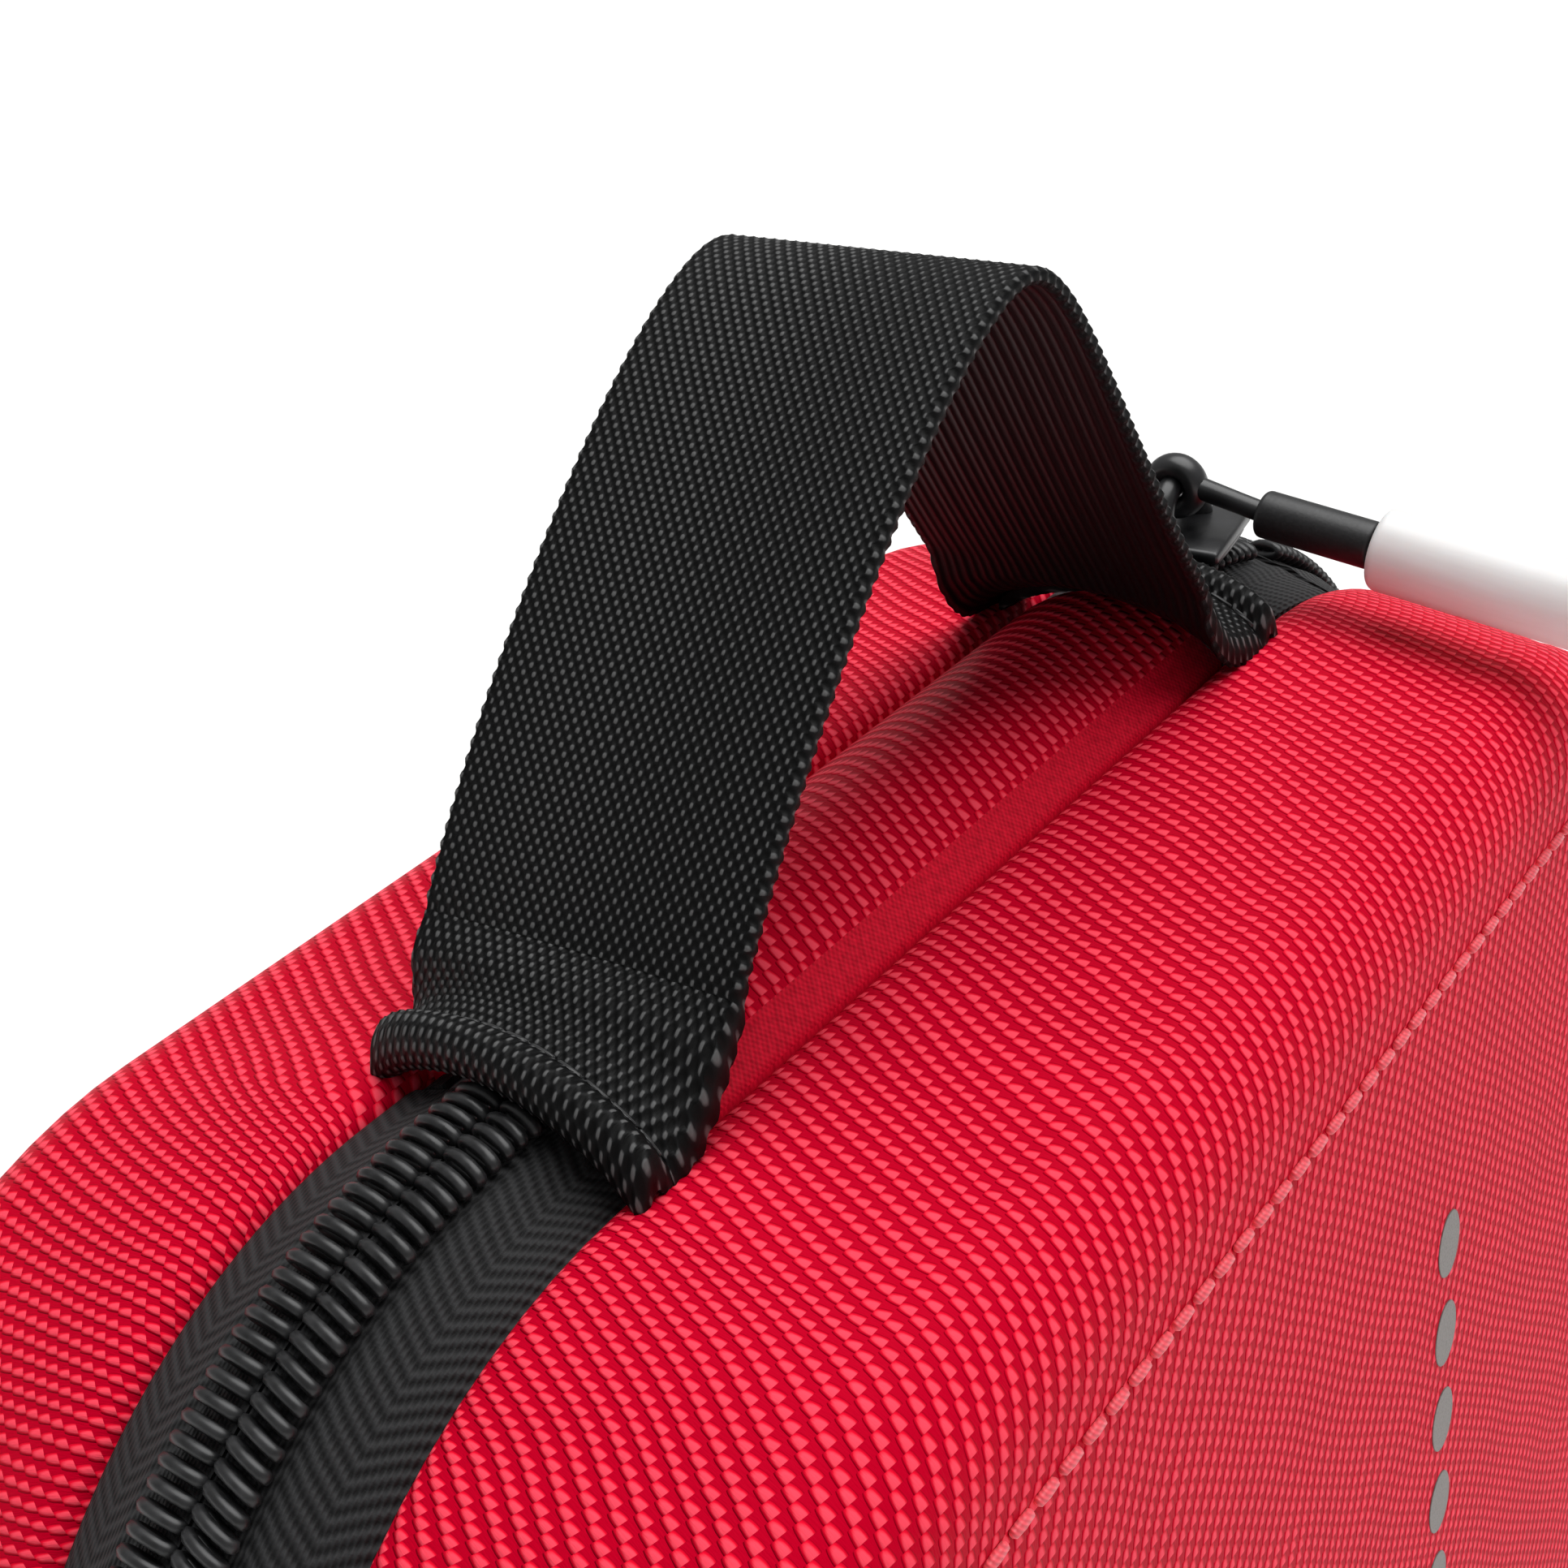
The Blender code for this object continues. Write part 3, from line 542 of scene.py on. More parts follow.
def zip_route():
    """Core points and directions along the zip, from the near foot round the case to the far one."""
    ring_points = outline(48, 64, 96)
    count = len(ring_points)
    first = next(k for k in range(count)
                 if ring_points[k][3] == 1.0 and ring_points[k][0] <= zip_from + 0.0009)
    points = []
    for step in range(count):
        cx, cz, nx, nz = ring_points[(first + step) % count]
        x = cx + nx * corner_r
        if step > count // 2 and nz > 0.5 and x < zip_to:
            break
        points.append((cx, cz, nx, nz))
    return np.array(points)


def lengths(line):
    """Distance along a flat line at each of its points."""
    return np.concatenate(([0.0], np.cumsum(np.hypot(*np.diff(line[:, :2], axis=0).T))))


zip_points = zip_route()
zip_run = lengths(zip_points[:, :2] + zip_points[:, 2:] * corner_r)


def zip_spot(run):
    """Core point and direction at a distance along the zip."""
    spot = np.stack([np.interp(run, zip_run, zip_points[:, k]) for k in range(4)], axis=-1)
    length = np.hypot(spot[..., 2], spot[..., 3])
    spot[..., 2] /= length
    spot[..., 3] /= length
    return spot


def tape_rise(y, z):
    """Height of the tape's face over the rim's outline, at a distance from the seam and a height."""
    rise = np.clip((z - case_base) / corner_r, 0.0, 1.0)
    crown = 0.0020 - 0.0052 * (1.0 - rise * rise * (3.0 - 2.0 * rise))
    share = np.clip(y / 0.0115, 0.0, 1.0)
    cord = 0.00030 * np.exp(-((y - 0.0061) / 0.0009) ** 2)
    tucked = 0.0018 * np.clip((y - 0.0110) / 0.0022, 0.0, 1.0) ** 1.5
    return crown - (crown + 0.0012) * share ** 1.25 + cord - tucked


def herringbone_tape():
    """Woven polyester zip tape: herringbone ribs that turn every 4.2 mm, matt, with a faint lint."""
    material, tree = new_material("polyester_tape_woven_black", "#1b1b1c", 0.75, sheen_weight=0.05,
                                  sheen_roughness=0.5, sheen_tint=linear("#b9bab8"), specular_ior_level=0.25)
    cloth = add(tree, "UVMap", uv_map="cloth")
    place = add(tree, "SeparateXYZ", {0: cloth})
    # Ribs 1.35 mm apart, leaning 3.4 radians for each mm across, one way and then the other.
    zigzag = add(tree, "Math", {0: place.outputs[1], 1: 4.2}, operation="PINGPONG")
    lean = add(tree, "Math", {0: zigzag, 1: 3.4}, operation="MULTIPLY")
    turn = add(tree, "Math", {0: place.outputs[0], 1: 2 * math.pi / 1.35, 2: lean}, operation="MULTIPLY_ADD")
    ribs = add(tree, "Math", {0: add(tree, "Math", {0: turn}, operation="SINE"), 1: 0.5, 2: 0.5},
               operation="MULTIPLY_ADD")
    yarn = add(tree, "Math", {0: wave(tree, place.outputs[1], 0.42), 1: 0.22, 2: ribs},
               operation="MULTIPLY_ADD")
    stretched = add(tree, "Mapping", {"Vector": cloth, "Scale": (4.0, 1.5, 1.0)})
    lint = add(tree, "TexNoise", {"Vector": stretched, "Scale": 1.0, "Detail": 3.0})
    relief = add(tree, "Math", {0: lint, 1: 0.35, 2: yarn}, operation="MULTIPLY_ADD")
    tone = add(tree, "ValToRGB", {0: relief})
    deep, bright = tone.color_ramp.elements
    deep.position, deep.color = 0.10, linear("#0b0b0c")
    bright.position, bright.color = 1.1, linear("#2c2c2d")
    return surfaced(material, tone, relief, 0.9, 0.00022)


tape_cloth = herringbone_tape()
tape_face, tape_turns = 22, 30  # steps on the tape's outer face, and all the way round it
tape_gap, tape_t = 0.00015, 0.0008
for half, side in halves:
    def place(u, v):
        turn = np.rint(u * tape_turns) % tape_turns
        over = turn <= tape_face
        share = np.where(over, turn / tape_face, 1.0 - (turn - tape_face - 1) / (tape_turns - tape_face - 2))
        y = tape_gap + (tape_tuck - tape_gap) * np.clip(share, 0.0, 1.0)
        spot = zip_spot(v * zip_run[-1])
        radius = corner_r + tape_rise(y, spot[:, 1] + spot[:, 3] * corner_r) - np.where(over, 0.0, tape_t)
        return np.stack((spot[:, 0] + spot[:, 2] * radius, seam_y + side * y,
                         spot[:, 1] + spot[:, 3] * radius), axis=1)

    def measure(u, v):
        return np.stack((v * zip_run[-1], u * tape_turns / tape_face * tape_tuck), axis=1) * 1000

    tape = wrapped(half + "_tape", tape_turns, 330, place, measure)
    smooth(tape, 50.0)
    tape.data.materials.append(tape_cloth)
    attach(tape, half + "_half")
    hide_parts(half + "_zip_tape")

# ---- Zip chain ------------------------------------------------------------------------------
# A nylon coil on each tape, 1.5 mm from loop to loop: 1.1 mm monofilament bent into flattened
# loops that lock with the other side's in the middle. Grey highlight is painted on the loops in random
# patches.
coil_pitch = 0.0015
coil_phases = (1, 0.25), (-1, 0.75)   # side of the seam, and where its loops start, in pitches


def nylon_filament():
    """Nylon monofilament, drawn and heat-set: smooth black with a soft gloss, and grey painted highlight in
    random patches.
    """
    material, tree = new_material("nylon_monofilament_drawn_black", "#161617", 0.34)
    spot = add(tree, "TexCoord").outputs["Object"]
    # Random patches of painted grey highlight; the same noise also varies the gloss and the relief.
    glint_noise = add(tree, "TexNoise", {"Vector": spot, "Scale": 700.0, "Detail": 3.0})
    tone = add(tree, "ValToRGB", {0: glint_noise})
    deep, bright = tone.color_ramp.elements
    deep.position, deep.color = 0.35, linear("#141415")
    bright.position, bright.color = 0.75, linear("#2e2e2f")
    rough = add(tree, "Math", {0: glint_noise, 1: 0.25, 2: 0.26}, operation="MULTIPLY_ADD")
    return surfaced(material, tone, glint_noise, 0.25, 0.00006, rough)


def coil_loop(side):
    """One flattened loop across the tape, whose ends slant half a pitch along it."""
    wire, long, high = 0.00054, 0.00185, 0.00062
    off_seam, off_tape = 0.00226, 0.00085
    slant = 0.00016 if side > 0 else 0.00055
    bpy.ops.object.select_all(action="DESELECT")
    bpy.ops.mesh.primitive_torus_add(major_segments=14, minor_segments=7, major_radius=long,
                                     minor_radius=wire, rotation=(0.0, math.pi / 2, 0.0))
    loop = bpy.context.object
    bpy.ops.object.transform_apply(location=True, rotation=True, scale=True)
    for vert in loop.data.vertices:
        turn = math.atan2(vert.co.z, vert.co.y)
        vert.co.z += (high - long) * math.sin(turn)
        vert.co.x += slant * math.cos(turn)
        vert.co.y += side * off_seam
        vert.co.z += off_tape
    for face in loop.data.polygons:
        face.use_smooth = True
    return loop


def chain_places(phase):
    """Matrices along the zip for one row of loops: X along it, Z outwards, Y towards the back."""
    places = []
    for k in range(int(zip_run[-1] / coil_pitch)):
        cx, cz, nx, nz = zip_spot(np.array((k + phase) * coil_pitch))
        rise = corner_r + float(tape_rise(np.array(0.0030), np.array(cz + nz * corner_r)))
        out = Vector((nx, 0.0, nz))
        back = Vector((0.0, 1.0, 0.0))
        places.append(Matrix.Translation((cx + nx * rise, seam_y, cz + nz * rise))
                      @ Matrix((back.cross(out), back, out)).transposed().to_4x4())
    return places


filament = nylon_filament()
for side, phase in coil_phases:
    half = "rear" if side > 0 else "front"
    coil = repeated(half + "_coil", coil_loop(side), chain_places(phase))
    coil.data.materials.append(filament)
    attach(coil, half + "_half")
    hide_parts(half + "_zip_coil")

# ---- Far end of the zip ---------------------------------------------------------------------
# The last stretch of tape and chain between the far foot and the parked slider stays with the
# spine: one tape with its herringbone, and both rows of loops.
far_from, far_to = 0.0498, 0.0703
far_half_w = 0.0115
far_face, far_turns = 32, 48


def far_height(x):
    """Height of the rims' outline where the zip dips over the far corner."""
    past = np.maximum(0.0, x - core_x)
    return case_top - (corner_r - np.sqrt(corner_r ** 2 - past ** 2))


def place(u, v):
    turn = np.rint(u * far_turns) % far_turns
    over = turn <= far_face
    share = np.where(over, turn / far_face, 1.0 - (turn - far_face - 1) / (far_turns - far_face - 2))
    y = (2 * np.clip(share, 0.0, 1.0) - 1) * far_half_w
    x = far_from + (far_to - far_from) * v
    z = far_height(x) + tape_rise(np.abs(y), case_top) - np.where(over, 0.0, tape_t)
    return np.stack((x, seam_y + y, z), axis=1)


def measure(u, v):
    return np.stack((v * (far_to - far_from), u * far_turns / far_face * 2 * far_half_w), axis=1) * 1000


far_tape = wrapped("far_zip_tape", far_turns, 40, place, measure)
smooth(far_tape, 50.0)
far_tape.data.materials.append(tape_cloth)
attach(far_tape, "spine")
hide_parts("far_zip_end")
for side, phase in coil_phases:
    places = []
    for k in range(12):
        x = far_from + 0.0004 + (k + phase) * coil_pitch
        slope = math.asin(max(0.0, x - core_x) / corner_r)
        z = float(far_height(x)) + float(tape_rise(np.array(0.0030), case_top))
        places.append(Matrix.Translation((x, seam_y, z)) @ Matrix.Rotation(slope, 4, "Y"))
    coil = repeated("far_coil_rear" if side > 0 else "far_coil_front", coil_loop(side), places)
    coil.data.materials.append(filament)
    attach(coil, "spine")

# ---- Handle strap ---------------------------------------------------------------------------
# One length of 30 mm nylon webbing, 1.6 mm thick. It stands up in an uneven arch over the spine,
# and each end is folded under at a foot and sewn across the case's band with one line of thread.
strap_half_w, strap_half_t = 0.0150, 0.0008
bump_pitch, row_pitch = 0.00107, 0.00136   # from bump to bump across the webbing and along it


def strap_route():
    """The webbing's middle line in mm: distance along the case, and height above the rims."""
    def arc(x, z, radius, start, end, steps):
        angles = np.radians(np.linspace(start, end, steps))
        return [(x + radius * math.cos(a), z + radius * math.sin(a)) for a in angles]

    def curve(p0, p1, p2, p3, start, end, steps):
        points = []
        for t in np.linspace(start, end, steps):
            a, b, c, d = (1 - t) ** 3, 3 * t * (1 - t) ** 2, 3 * t * t * (1 - t), t ** 3
            points.append((a * p0[0] + b * p1[0] + c * p2[0] + d * p3[0],
                           a * p0[1] + b * p1[1] + c * p2[1] + d * p3[1]))
        return points

    top = (5.75, 48.96)
    route = [(-44.6, 4.6), (-45.4, 4.5), (-47.3, 4.1)]
    route += arc(-48.6, 5.45, 1.42, 265, 62, 21)
    route += [(-47.3, 6.15), (-46.9, 5.72), (-46.4, 5.80), (-45.6, 6.15), (-44.4, 6.6), (-43.2, 7.3),
              (-42.0, 8.2)]
    route += curve((-45.06, -2.45), (-41.91, 12.31), (-7.56, 48.96), top, 0.215, 1.0, 72)
    route += curve((45.06, -2.45), (19.16, 29.82), (14.97, 48.96), top, 0.985, 0.15, 70)
    route += [(36.2, 9.0), (38.2, 7.8), (40.6, 6.9), (43.0, 6.5), (45.6, 6.15), (46.4, 5.80), (46.9, 5.72),
              (47.3, 6.15)]
    route += arc(48.6, 5.45, 1.42, 118, -85, 21)
    route += [(47.3, 4.1), (45.4, 4.5), (44.6, 4.6)]
    route = np.array(route)
    run = lengths(route)
    fine = np.arange(0.0, run[-1], 0.05)
    dense = np.stack([np.interp(fine, run, route[:, k]) for k in (0, 1)], axis=1)
    for _ in range(24):
        dense[1:-1] = 0.25 * dense[:-2] + 0.5 * dense[1:-1] + 0.25 * dense[2:]
    return fine / 1000, dense / 1000


strap_run, strap_line = strap_route()
strap_length = strap_run[-1]
strap_tangent = np.gradient(strap_line, axis=0)
strap_tangent /= np.linalg.norm(strap_tangent, axis=1)[:, None]
outer_count, edge_count, inner_count = 138, 3, 36
strap_around = outer_count + inner_count + 2 * edge_count
strap_rows = 545
edge_round = 0.0004


def foot_share(share):
    """Eases a share from 0 to 1."""
    share = np.clip(share, 0.0, 1.0)
    return share * share * (3.0 - 2.0 * share)


def foot_shape(x, y, height):
    """Moves a point of the strap with its foot: down towards its edges, and askew at the near foot."""
    edge = np.abs(y / strap_half_w)
    drop = (0.0048 * edge ** 2 + 0.0016 * edge ** 9) * foot_share((0.0108 - height) / 0.0052)
    askew = 0.15 * y * foot_share((-0.0412 - x) / 0.0045)
    return x + askew, height - drop


def place(u, v):
    turn = np.rint(u * strap_around) % strap_around
    row = np.rint(v * strap_rows) / strap_rows * strap_length
    line = np.stack([np.interp(row, strap_run, strap_line[:, k]) for k in (0, 1)], axis=1)
    tangent = np.stack([np.interp(row, strap_run, strap_tangent[:, k]) for k in (0, 1)], axis=1)
    normal = np.stack((-tangent[:, 1], tangent[:, 0]), axis=1)
    outer = turn <= outer_count
    first_edge = (turn > outer_count) & (turn < outer_count + edge_count)
    inner = (turn >= outer_count + edge_count) & (turn <= outer_count + edge_count + inner_count)
    y = np.where(outer, 1.0 - 2.0 * turn / outer_count, 0.0)
    y = np.where(inner, -1.0 + 2.0 * (turn - outer_count - edge_count) / inner_count, y)
    bend = (turn - outer_count) / edge_count * math.pi
    last_bend = (turn - outer_count - edge_count - inner_count) / edge_count * math.pi
    bend = np.where(outer | inner | first_edge, bend, last_bend)
    edge = ~(outer | inner)
    y = np.where(edge, np.where(first_edge, -1.0, 1.0), y)
    lift = np.where(outer, 1.0, np.where(inner, -1.0, np.where(first_edge, np.cos(bend), -np.cos(bend))))
    half = strap_half_w - edge_round
    stick_out = np.where(edge, np.sin(bend) * edge_round, 0.0) * np.where(first_edge, -1.0, 1.0)
    from_end = np.minimum(row, strap_length - row)
    scallop = 0.00013 * np.cos(2 * math.pi * row / row_pitch) * (np.abs(y) > 0.97)
    scallop *= foot_share((from_end - 0.0070) / 0.0060)
    # The turned-under end is cut a little narrower, so that it stays out of sight.
    half = half * (0.88 + 0.12 * foot_share(from_end / 0.0034))
    across = y * (half + scallop) + stick_out
    # Plain-woven bumps in staggered columns on the outer side, lengthwise ribs on the inner side.
    bump = np.cos(2 * math.pi * across / bump_pitch) * np.cos(2 * math.pi * row / row_pitch)
    outer_relief = np.where(outer, 0.00011 * np.clip(bump, 0.0, 1.0) - 0.00003, 0.0)
    relief = outer_relief + np.where(inner, 0.00006 * np.cos(2 * math.pi * across / bump_pitch), 0.0)
    out = lift * strap_half_t * 0.86 + relief
    x = line[:, 0] + normal[:, 0] * out
    height = line[:, 1] + normal[:, 1] * out
    x, height = foot_shape(x, across, height)
    return np.stack((x, seam_y + across, case_top + height), axis=1)


def measure(u, v):
    turn = u * strap_around
    # The inner side's cloth starts 85 mm on, which is how the material tells the two apart.
    outer = 15.0 - 30.0 * turn / outer_count
    inner = 100.0 - 15.0 + 30.0 * (turn - outer_count - edge_count) / inner_count
    across = np.where(turn < outer_count + edge_count - 0.5, outer, inner)
    return np.stack((across, v * strap_length * 1000), axis=1)


def nylon_webbing():
    """Nylon webbing, plain woven: staggered dot-like bumps of filament yarn outside, 1.07 mm between
    columns, and flat lengthwise ribs inside. Each bump's crown carries a painted soft grey highlight, and the
    gaps between bumps near-black painted shade."""
    material, tree = new_material("nylon_webbing_woven_black", "#0c0c0d", 0.50, specular_ior_level=0.14)
    cloth = add(tree, "UVMap", uv_map="cloth")
    place = add(tree, "SeparateXYZ", {0: cloth})
    columns = wave(tree, place.outputs[0], 1.07, "COSINE")
    rows = wave(tree, place.outputs[1], 1.36, "COSINE")
    bumps = add(tree, "Math", {0: columns, 1: rows}, operation="MULTIPLY")
    lifted = add(tree, "Math", {0: bumps, 1: 0.5, 2: 0.5}, operation="MULTIPLY_ADD")
    ribs = add(tree, "Math", {0: columns, 1: 0.5, 2: 0.5}, operation="MULTIPLY_ADD")
    inside = add(tree, "Math", {0: place.outputs[0], 1: 50.0}, operation="GREATER_THAN")
    weave = add(tree, "MixRGB", {"Fac": inside, "Color1": lifted, "Color2": ribs})
    drawn = add(tree, "Mapping", {"Vector": cloth, "Scale": (9.0, 1.6, 1.0)})
    yarn = add(tree, "TexNoise", {"Vector": drawn, "Scale": 1.0, "Detail": 2.0})
    relief = add(tree, "Math", {0: yarn, 1: 0.22, 2: weave}, operation="MULTIPLY_ADD")
    # Colour by weave height: painted grey highlight on each bump's crown, painted near-black shade in the
    # gaps between bumps.
    tone = add(tree, "ValToRGB", {0: relief})
    ramp = tone.color_ramp
    ramp.elements[0].position, ramp.elements[0].color = 0.40, linear("#020202")
    ramp.elements[1].position, ramp.elements[1].color = 1.05, linear("#5a5a5a")
    ramp.elements.new(0.78).color = linear("#101011")
    dimmed = add(tree, "MixRGB", {"Fac": inside, "Color1": tone, "Color2": linear("#0a090a")})
    gloss = add(tree, "Math", {0: relief, 1: -0.20, 2: 0.66}, operation="MULTIPLY_ADD")
    return surfaced(material, dimmed, relief, 0.8, 0.00022, gloss)


webbing = nylon_webbing()
strap = wrapped("strap", strap_around, strap_rows, place, measure)
smooth(strap, 60.0)
strap.data.materials.append(webbing)
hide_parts("handle_strap", "near_strap_foot", "far_strap_foot")
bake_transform(strap)

black_thread = sewing_thread("polyester_thread_bonded_black", "#1d1d1e")
for name, groove in (("near", -0.0468), ("far", 0.0468)):
    path = []
    for step in range(41):
        y = -0.0140 + 0.0280 * step / 40
        x, height = foot_shape(groove, y, 0.0058 + strap_half_t * 0.86 + 0.00002)
        path.append((x, seam_y + y, case_top + height))
    tack = repeated(name + "_foot_stitches", stitch_pattern(0.0024, 0.00026),
                    along_line(path, 0.0028, (0.0, 0.0, 1.0)))
    tack.data.materials.append(black_thread)
    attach(tack, "spine")
    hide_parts(name + "_bar_tack")

# ---- Fold tapes -----------------------------------------------------------------------------
# A strip of woven tape inside each fold of the lid joins the spine to the wall of each half. It
# lies hidden under the rims while the case is shut.
fold_half_x = 0.0470
route = np.array([(0.0085, -0.0004), (0.0105, -0.0014), (0.0122, -0.0030), (0.0140, -0.0045),
                  (0.0165, -0.0048), (0.0200, -0.0050)])
for half, side in halves:
    def place(u, v):
        run = np.linspace(0.0, 1.0, len(route))
        y = np.interp(v, run, route[:, 0])
        z = np.interp(v, run, route[:, 1])
        return np.stack((-fold_half_x + 2 * fold_half_x * u, seam_y + side * y, case_top + z), axis=1)

    def measure(u, v):
        return np.stack((94.0 * u, 12.0 * v), axis=1)

    strip = wrapped(half + "_fold_tape", 24, 16, place, measure, tube=False)
    thick = strip.modifiers.new("thickness", "SOLIDIFY")
    thick.thickness, thick.offset = 0.0005, 0.0
    bpy.context.view_layer.objects.active = strip
    bpy.ops.object.modifier_apply(modifier=thick.name)
    smooth(strip, 60.0)
    strip.data.materials.append(tape_cloth)
    if half == "rear":
        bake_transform(strip)
    else:
        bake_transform(strip)

# ---- Slider ---------------------------------------------------------------------------------
# Die-cast zinc, painted satin black: a lid plate and a low plate joined by a post between the
# rows, turned-in flanges that close the chain, and a bridge over the top for the puller.
def die_cast_black():
    """Die-cast zinc under satin black paint: soft broad gloss, a faint orange-peel, and random lighter grey
    patches.
    """
    material, tree = new_material("zinc_die_cast_painted_black", "#161617", 0.33, coat_weight=0.15,
                                  coat_roughness=0.35)
    spot = add(tree, "TexCoord").outputs["Object"]
    peel = add(tree, "TexNoise", {"Vector": spot, "Scale": 1400.0, "Detail": 2.0})
    grey_patch_noise = add(tree, "TexNoise", {"Vector": spot, "Scale": 260.0, "Detail": 4.0})
    tone = add(tree, "ValToRGB", {0: grey_patch_noise})
    deep, bright = tone.color_ramp.elements
    deep.position, deep.color = 0.40, linear("#131314")
    bright.position, bright.color = 0.72, linear("#2c2c2e")
    rough = add(tree, "Math", {0: grey_patch_noise, 1: 0.25, 2: 0.22}, operation="MULTIPLY_ADD")
    return surfaced(material, tone, peel, 0.2, 0.00004, rough)


def bar(name, route, girth, flat_side, around=20):
    """A round or oval bar along a route; girth gives its two half-widths at each point of it."""
    route = np.array(route, float)
    girth = np.array(girth, float)
    closed = bool(np.allclose(route[0], route[-1]))
    tangent = np.gradient(route, axis=0)
    if closed:
        tangent[0] = tangent[-1] = route[1] - route[-2]
    tangent /= np.linalg.norm(tangent, axis=1)[:, None]
    side = np.array(flat_side, float)
    rise = np.cross(tangent, side)
    rise /= np.linalg.norm(rise, axis=1)[:, None]
    last = len(route) - 1

    def place(u, v):
        at = np.rint(v * last).astype(int)
        angle = 2 * math.pi * u
        return (route[at] + side * (np.cos(angle) * girth[at, 0])[:, None]
                + rise[at] * (np.sin(angle) * girth[at, 1])[:, None])

    def measure(u, v):
        return np.stack((u * 10.0, v * 10.0), axis=1)

    piece = wrapped(name, around, last, place, measure)
    smooth(piece, 45.0)
    return piece


cast = die_cast_black()
slider_low, slider_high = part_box("slider_body")
slider_x = (slider_low.x + slider_high.x) / 2
slider_half_x = (slider_high.x - slider_low.x) / 2
slider_half_y = (slider_high.y - slider_low.y) / 2
plate_t, narrowing = 0.0014, 0.16
for name, z0, z1 in (("slider_lid", slider_high.z - plate_t, slider_high.z),
                     ("slider_low_plate", slider_low.z, slider_low.z + plate_t)):
    bpy.ops.object.select_all(action="DESELECT")
    bpy.ops.mesh.primitive_cube_add(size=1.0, location=(slider_x, seam_y, (z0 + z1) / 2),
                                    scale=(2 * slider_half_x, 2 * slider_half_y, z1 - z0))
    plate = bpy.context.object
    plate.name = name
    bpy.ops.object.transform_apply(location=True, rotation=True, scale=True)
    bpy.ops.object.mode_set(mode="EDIT")
    body = bmesh.from_edit_mesh(plate.data)
    for part in (body.verts, body.edges, body.faces):
        for item in part:
            item.select = False
    for edge in body.edges:
        edge.select = abs(edge.verts[0].co.z - edge.verts[1].co.z) > 0.0005
    bmesh.update_edit_mesh(plate.data)
    bpy.ops.mesh.bevel(offset=0.0030, segments=6)
    bpy.ops.object.mode_set(mode="OBJECT")
    # The end that parts the rows is broad, and the other end, where they close, is narrower.
    for vert in plate.data.vertices:
        along = (vert.co.x - slider_x) / slider_half_x
        vert.co.y = seam_y + (vert.co.y - seam_y) * (1.0 - narrowing * along)
    bevel = plate.modifiers.new("rounded", "BEVEL")
    bevel.width, bevel.segments, bevel.limit_method = 0.00050, 3, "ANGLE"
    bpy.context.view_layer.objects.active = plate
    bpy.ops.object.modifier_apply(modifier=bevel.name)
    plate.data.name = name
    smooth(plate, 30.0)
    plate.data.materials.append(cast)
    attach(plate, "slider")
post_x = slider_low.x + 0.0025
post_rise = np.linspace(slider_low.z + 0.0010, slider_high.z - 0.0010, 8)
post = bar("slider_post", [(post_x, seam_y, z) for z in post_rise], [(0.00105, 0.0012)] * 8, (1.0, 0.0, 0.0))
flanges = [post]
for side in (1, -1):
    route = [(slider_x + slider_half_x * t, seam_y + side * (slider_half_y * (1 - narrowing * t) - 0.00085),
              slider_high.z - plate_t - 0.0002) for t in np.linspace(-0.62, 0.80, 12)]
    girth = [(0.00055 * math.sin(math.pi * (0.12 + 0.76 * k / 11)) ** 0.4, 0.00070) for k in range(12)]
    name = "slider_flange_" + ("rear" if side > 0 else "front")
    flanges.append(bar(name, route, girth, (0.0, 1.0, 0.0), 12))
for piece in flanges:
    piece.data.materials.append(cast)
    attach(piece, "slider")
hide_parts("slider_body")

bridge_low, bridge_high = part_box("slider_bridge")
bridge_x = (bridge_low.x + bridge_high.x) / 2
bridge_foot = slider_high.z - 0.0004
bridge_top = bridge_high.z - 0.0013
span = (bridge_high.x - bridge_low.x) / 2 - 0.0013
route, girth = [], []
for step in range(33):
    turn = math.pi * step / 32
    lift = max(0.0, math.sin(turn)) ** 0.62
    route.append((bridge_x - span * math.cos(turn), seam_y, bridge_foot + (bridge_top - bridge_foot) * lift))
    girth.append((0.0019 - 0.0007 * math.sin(turn), 0.0012))
bridge = bar("slider_arch", route, girth, (0.0, 1.0, 0.0))
bridge.data.materials.append(cast)
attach(bridge, "slider")
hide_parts("slider_bridge")

# ---- Puller ---------------------------------------------------------------------------------
# A cast eye hangs on the bridge. Its shank can bend where it enters a moulded nylon ferrule, which
# holds one end of a cord. A soft milky silicone sleeve covers the cord as a grip.
hook_r = 0.00220
bar_y, bar_z = seam_y, bridge_top - 0.0004
bend_at = Vector(next(j["pos_m"] for j in frame["joints"] if j["name"] == "puller_bend"))
slope = math.radians(8.0)
toward = Vector((0.0, -math.cos(slope), -math.sin(slope)))
raised = Vector((0.0, 0.0, 0.0009))   # the shank, ferrule and sleeve sit this far over the bend's axis
eye_route, eye_girth = [], []
for step in range(41):
    turn = 2 * math.pi * step / 40
    eye_route.append((bend_at.x, bar_y + hook_r * math.cos(turn), bar_z + hook_r * math.sin(turn)))
    eye_girth.append((0.00165, 0.00120))
eye = bar("puller_eye", eye_route, eye_girth, (1.0, 0.0, 0.0))
shank_from = Vector((bend_at.x, bar_y - hook_r - 0.0002, bar_z + 0.0002))
shank_to = bend_at + toward * 0.0036 + raised
shank_route = [shank_from.lerp(shank_to, k / 14) for k in range(15)]
shank_taper = [min(1.0, k / 8) for k in range(15)]
shank_girth = [(0.00125 - 0.00010 * t, 0.00112 - 0.00006 * t) for t in shank_taper]
shank = bar("puller_shank", [tuple(p) for p in shank_route], shank_girth, (1.0, 0.0, 0.0))
for piece in (eye, shank):
    piece.data.materials.append(cast)
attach(eye, "hook")
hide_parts("puller_hook")
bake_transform(shank)


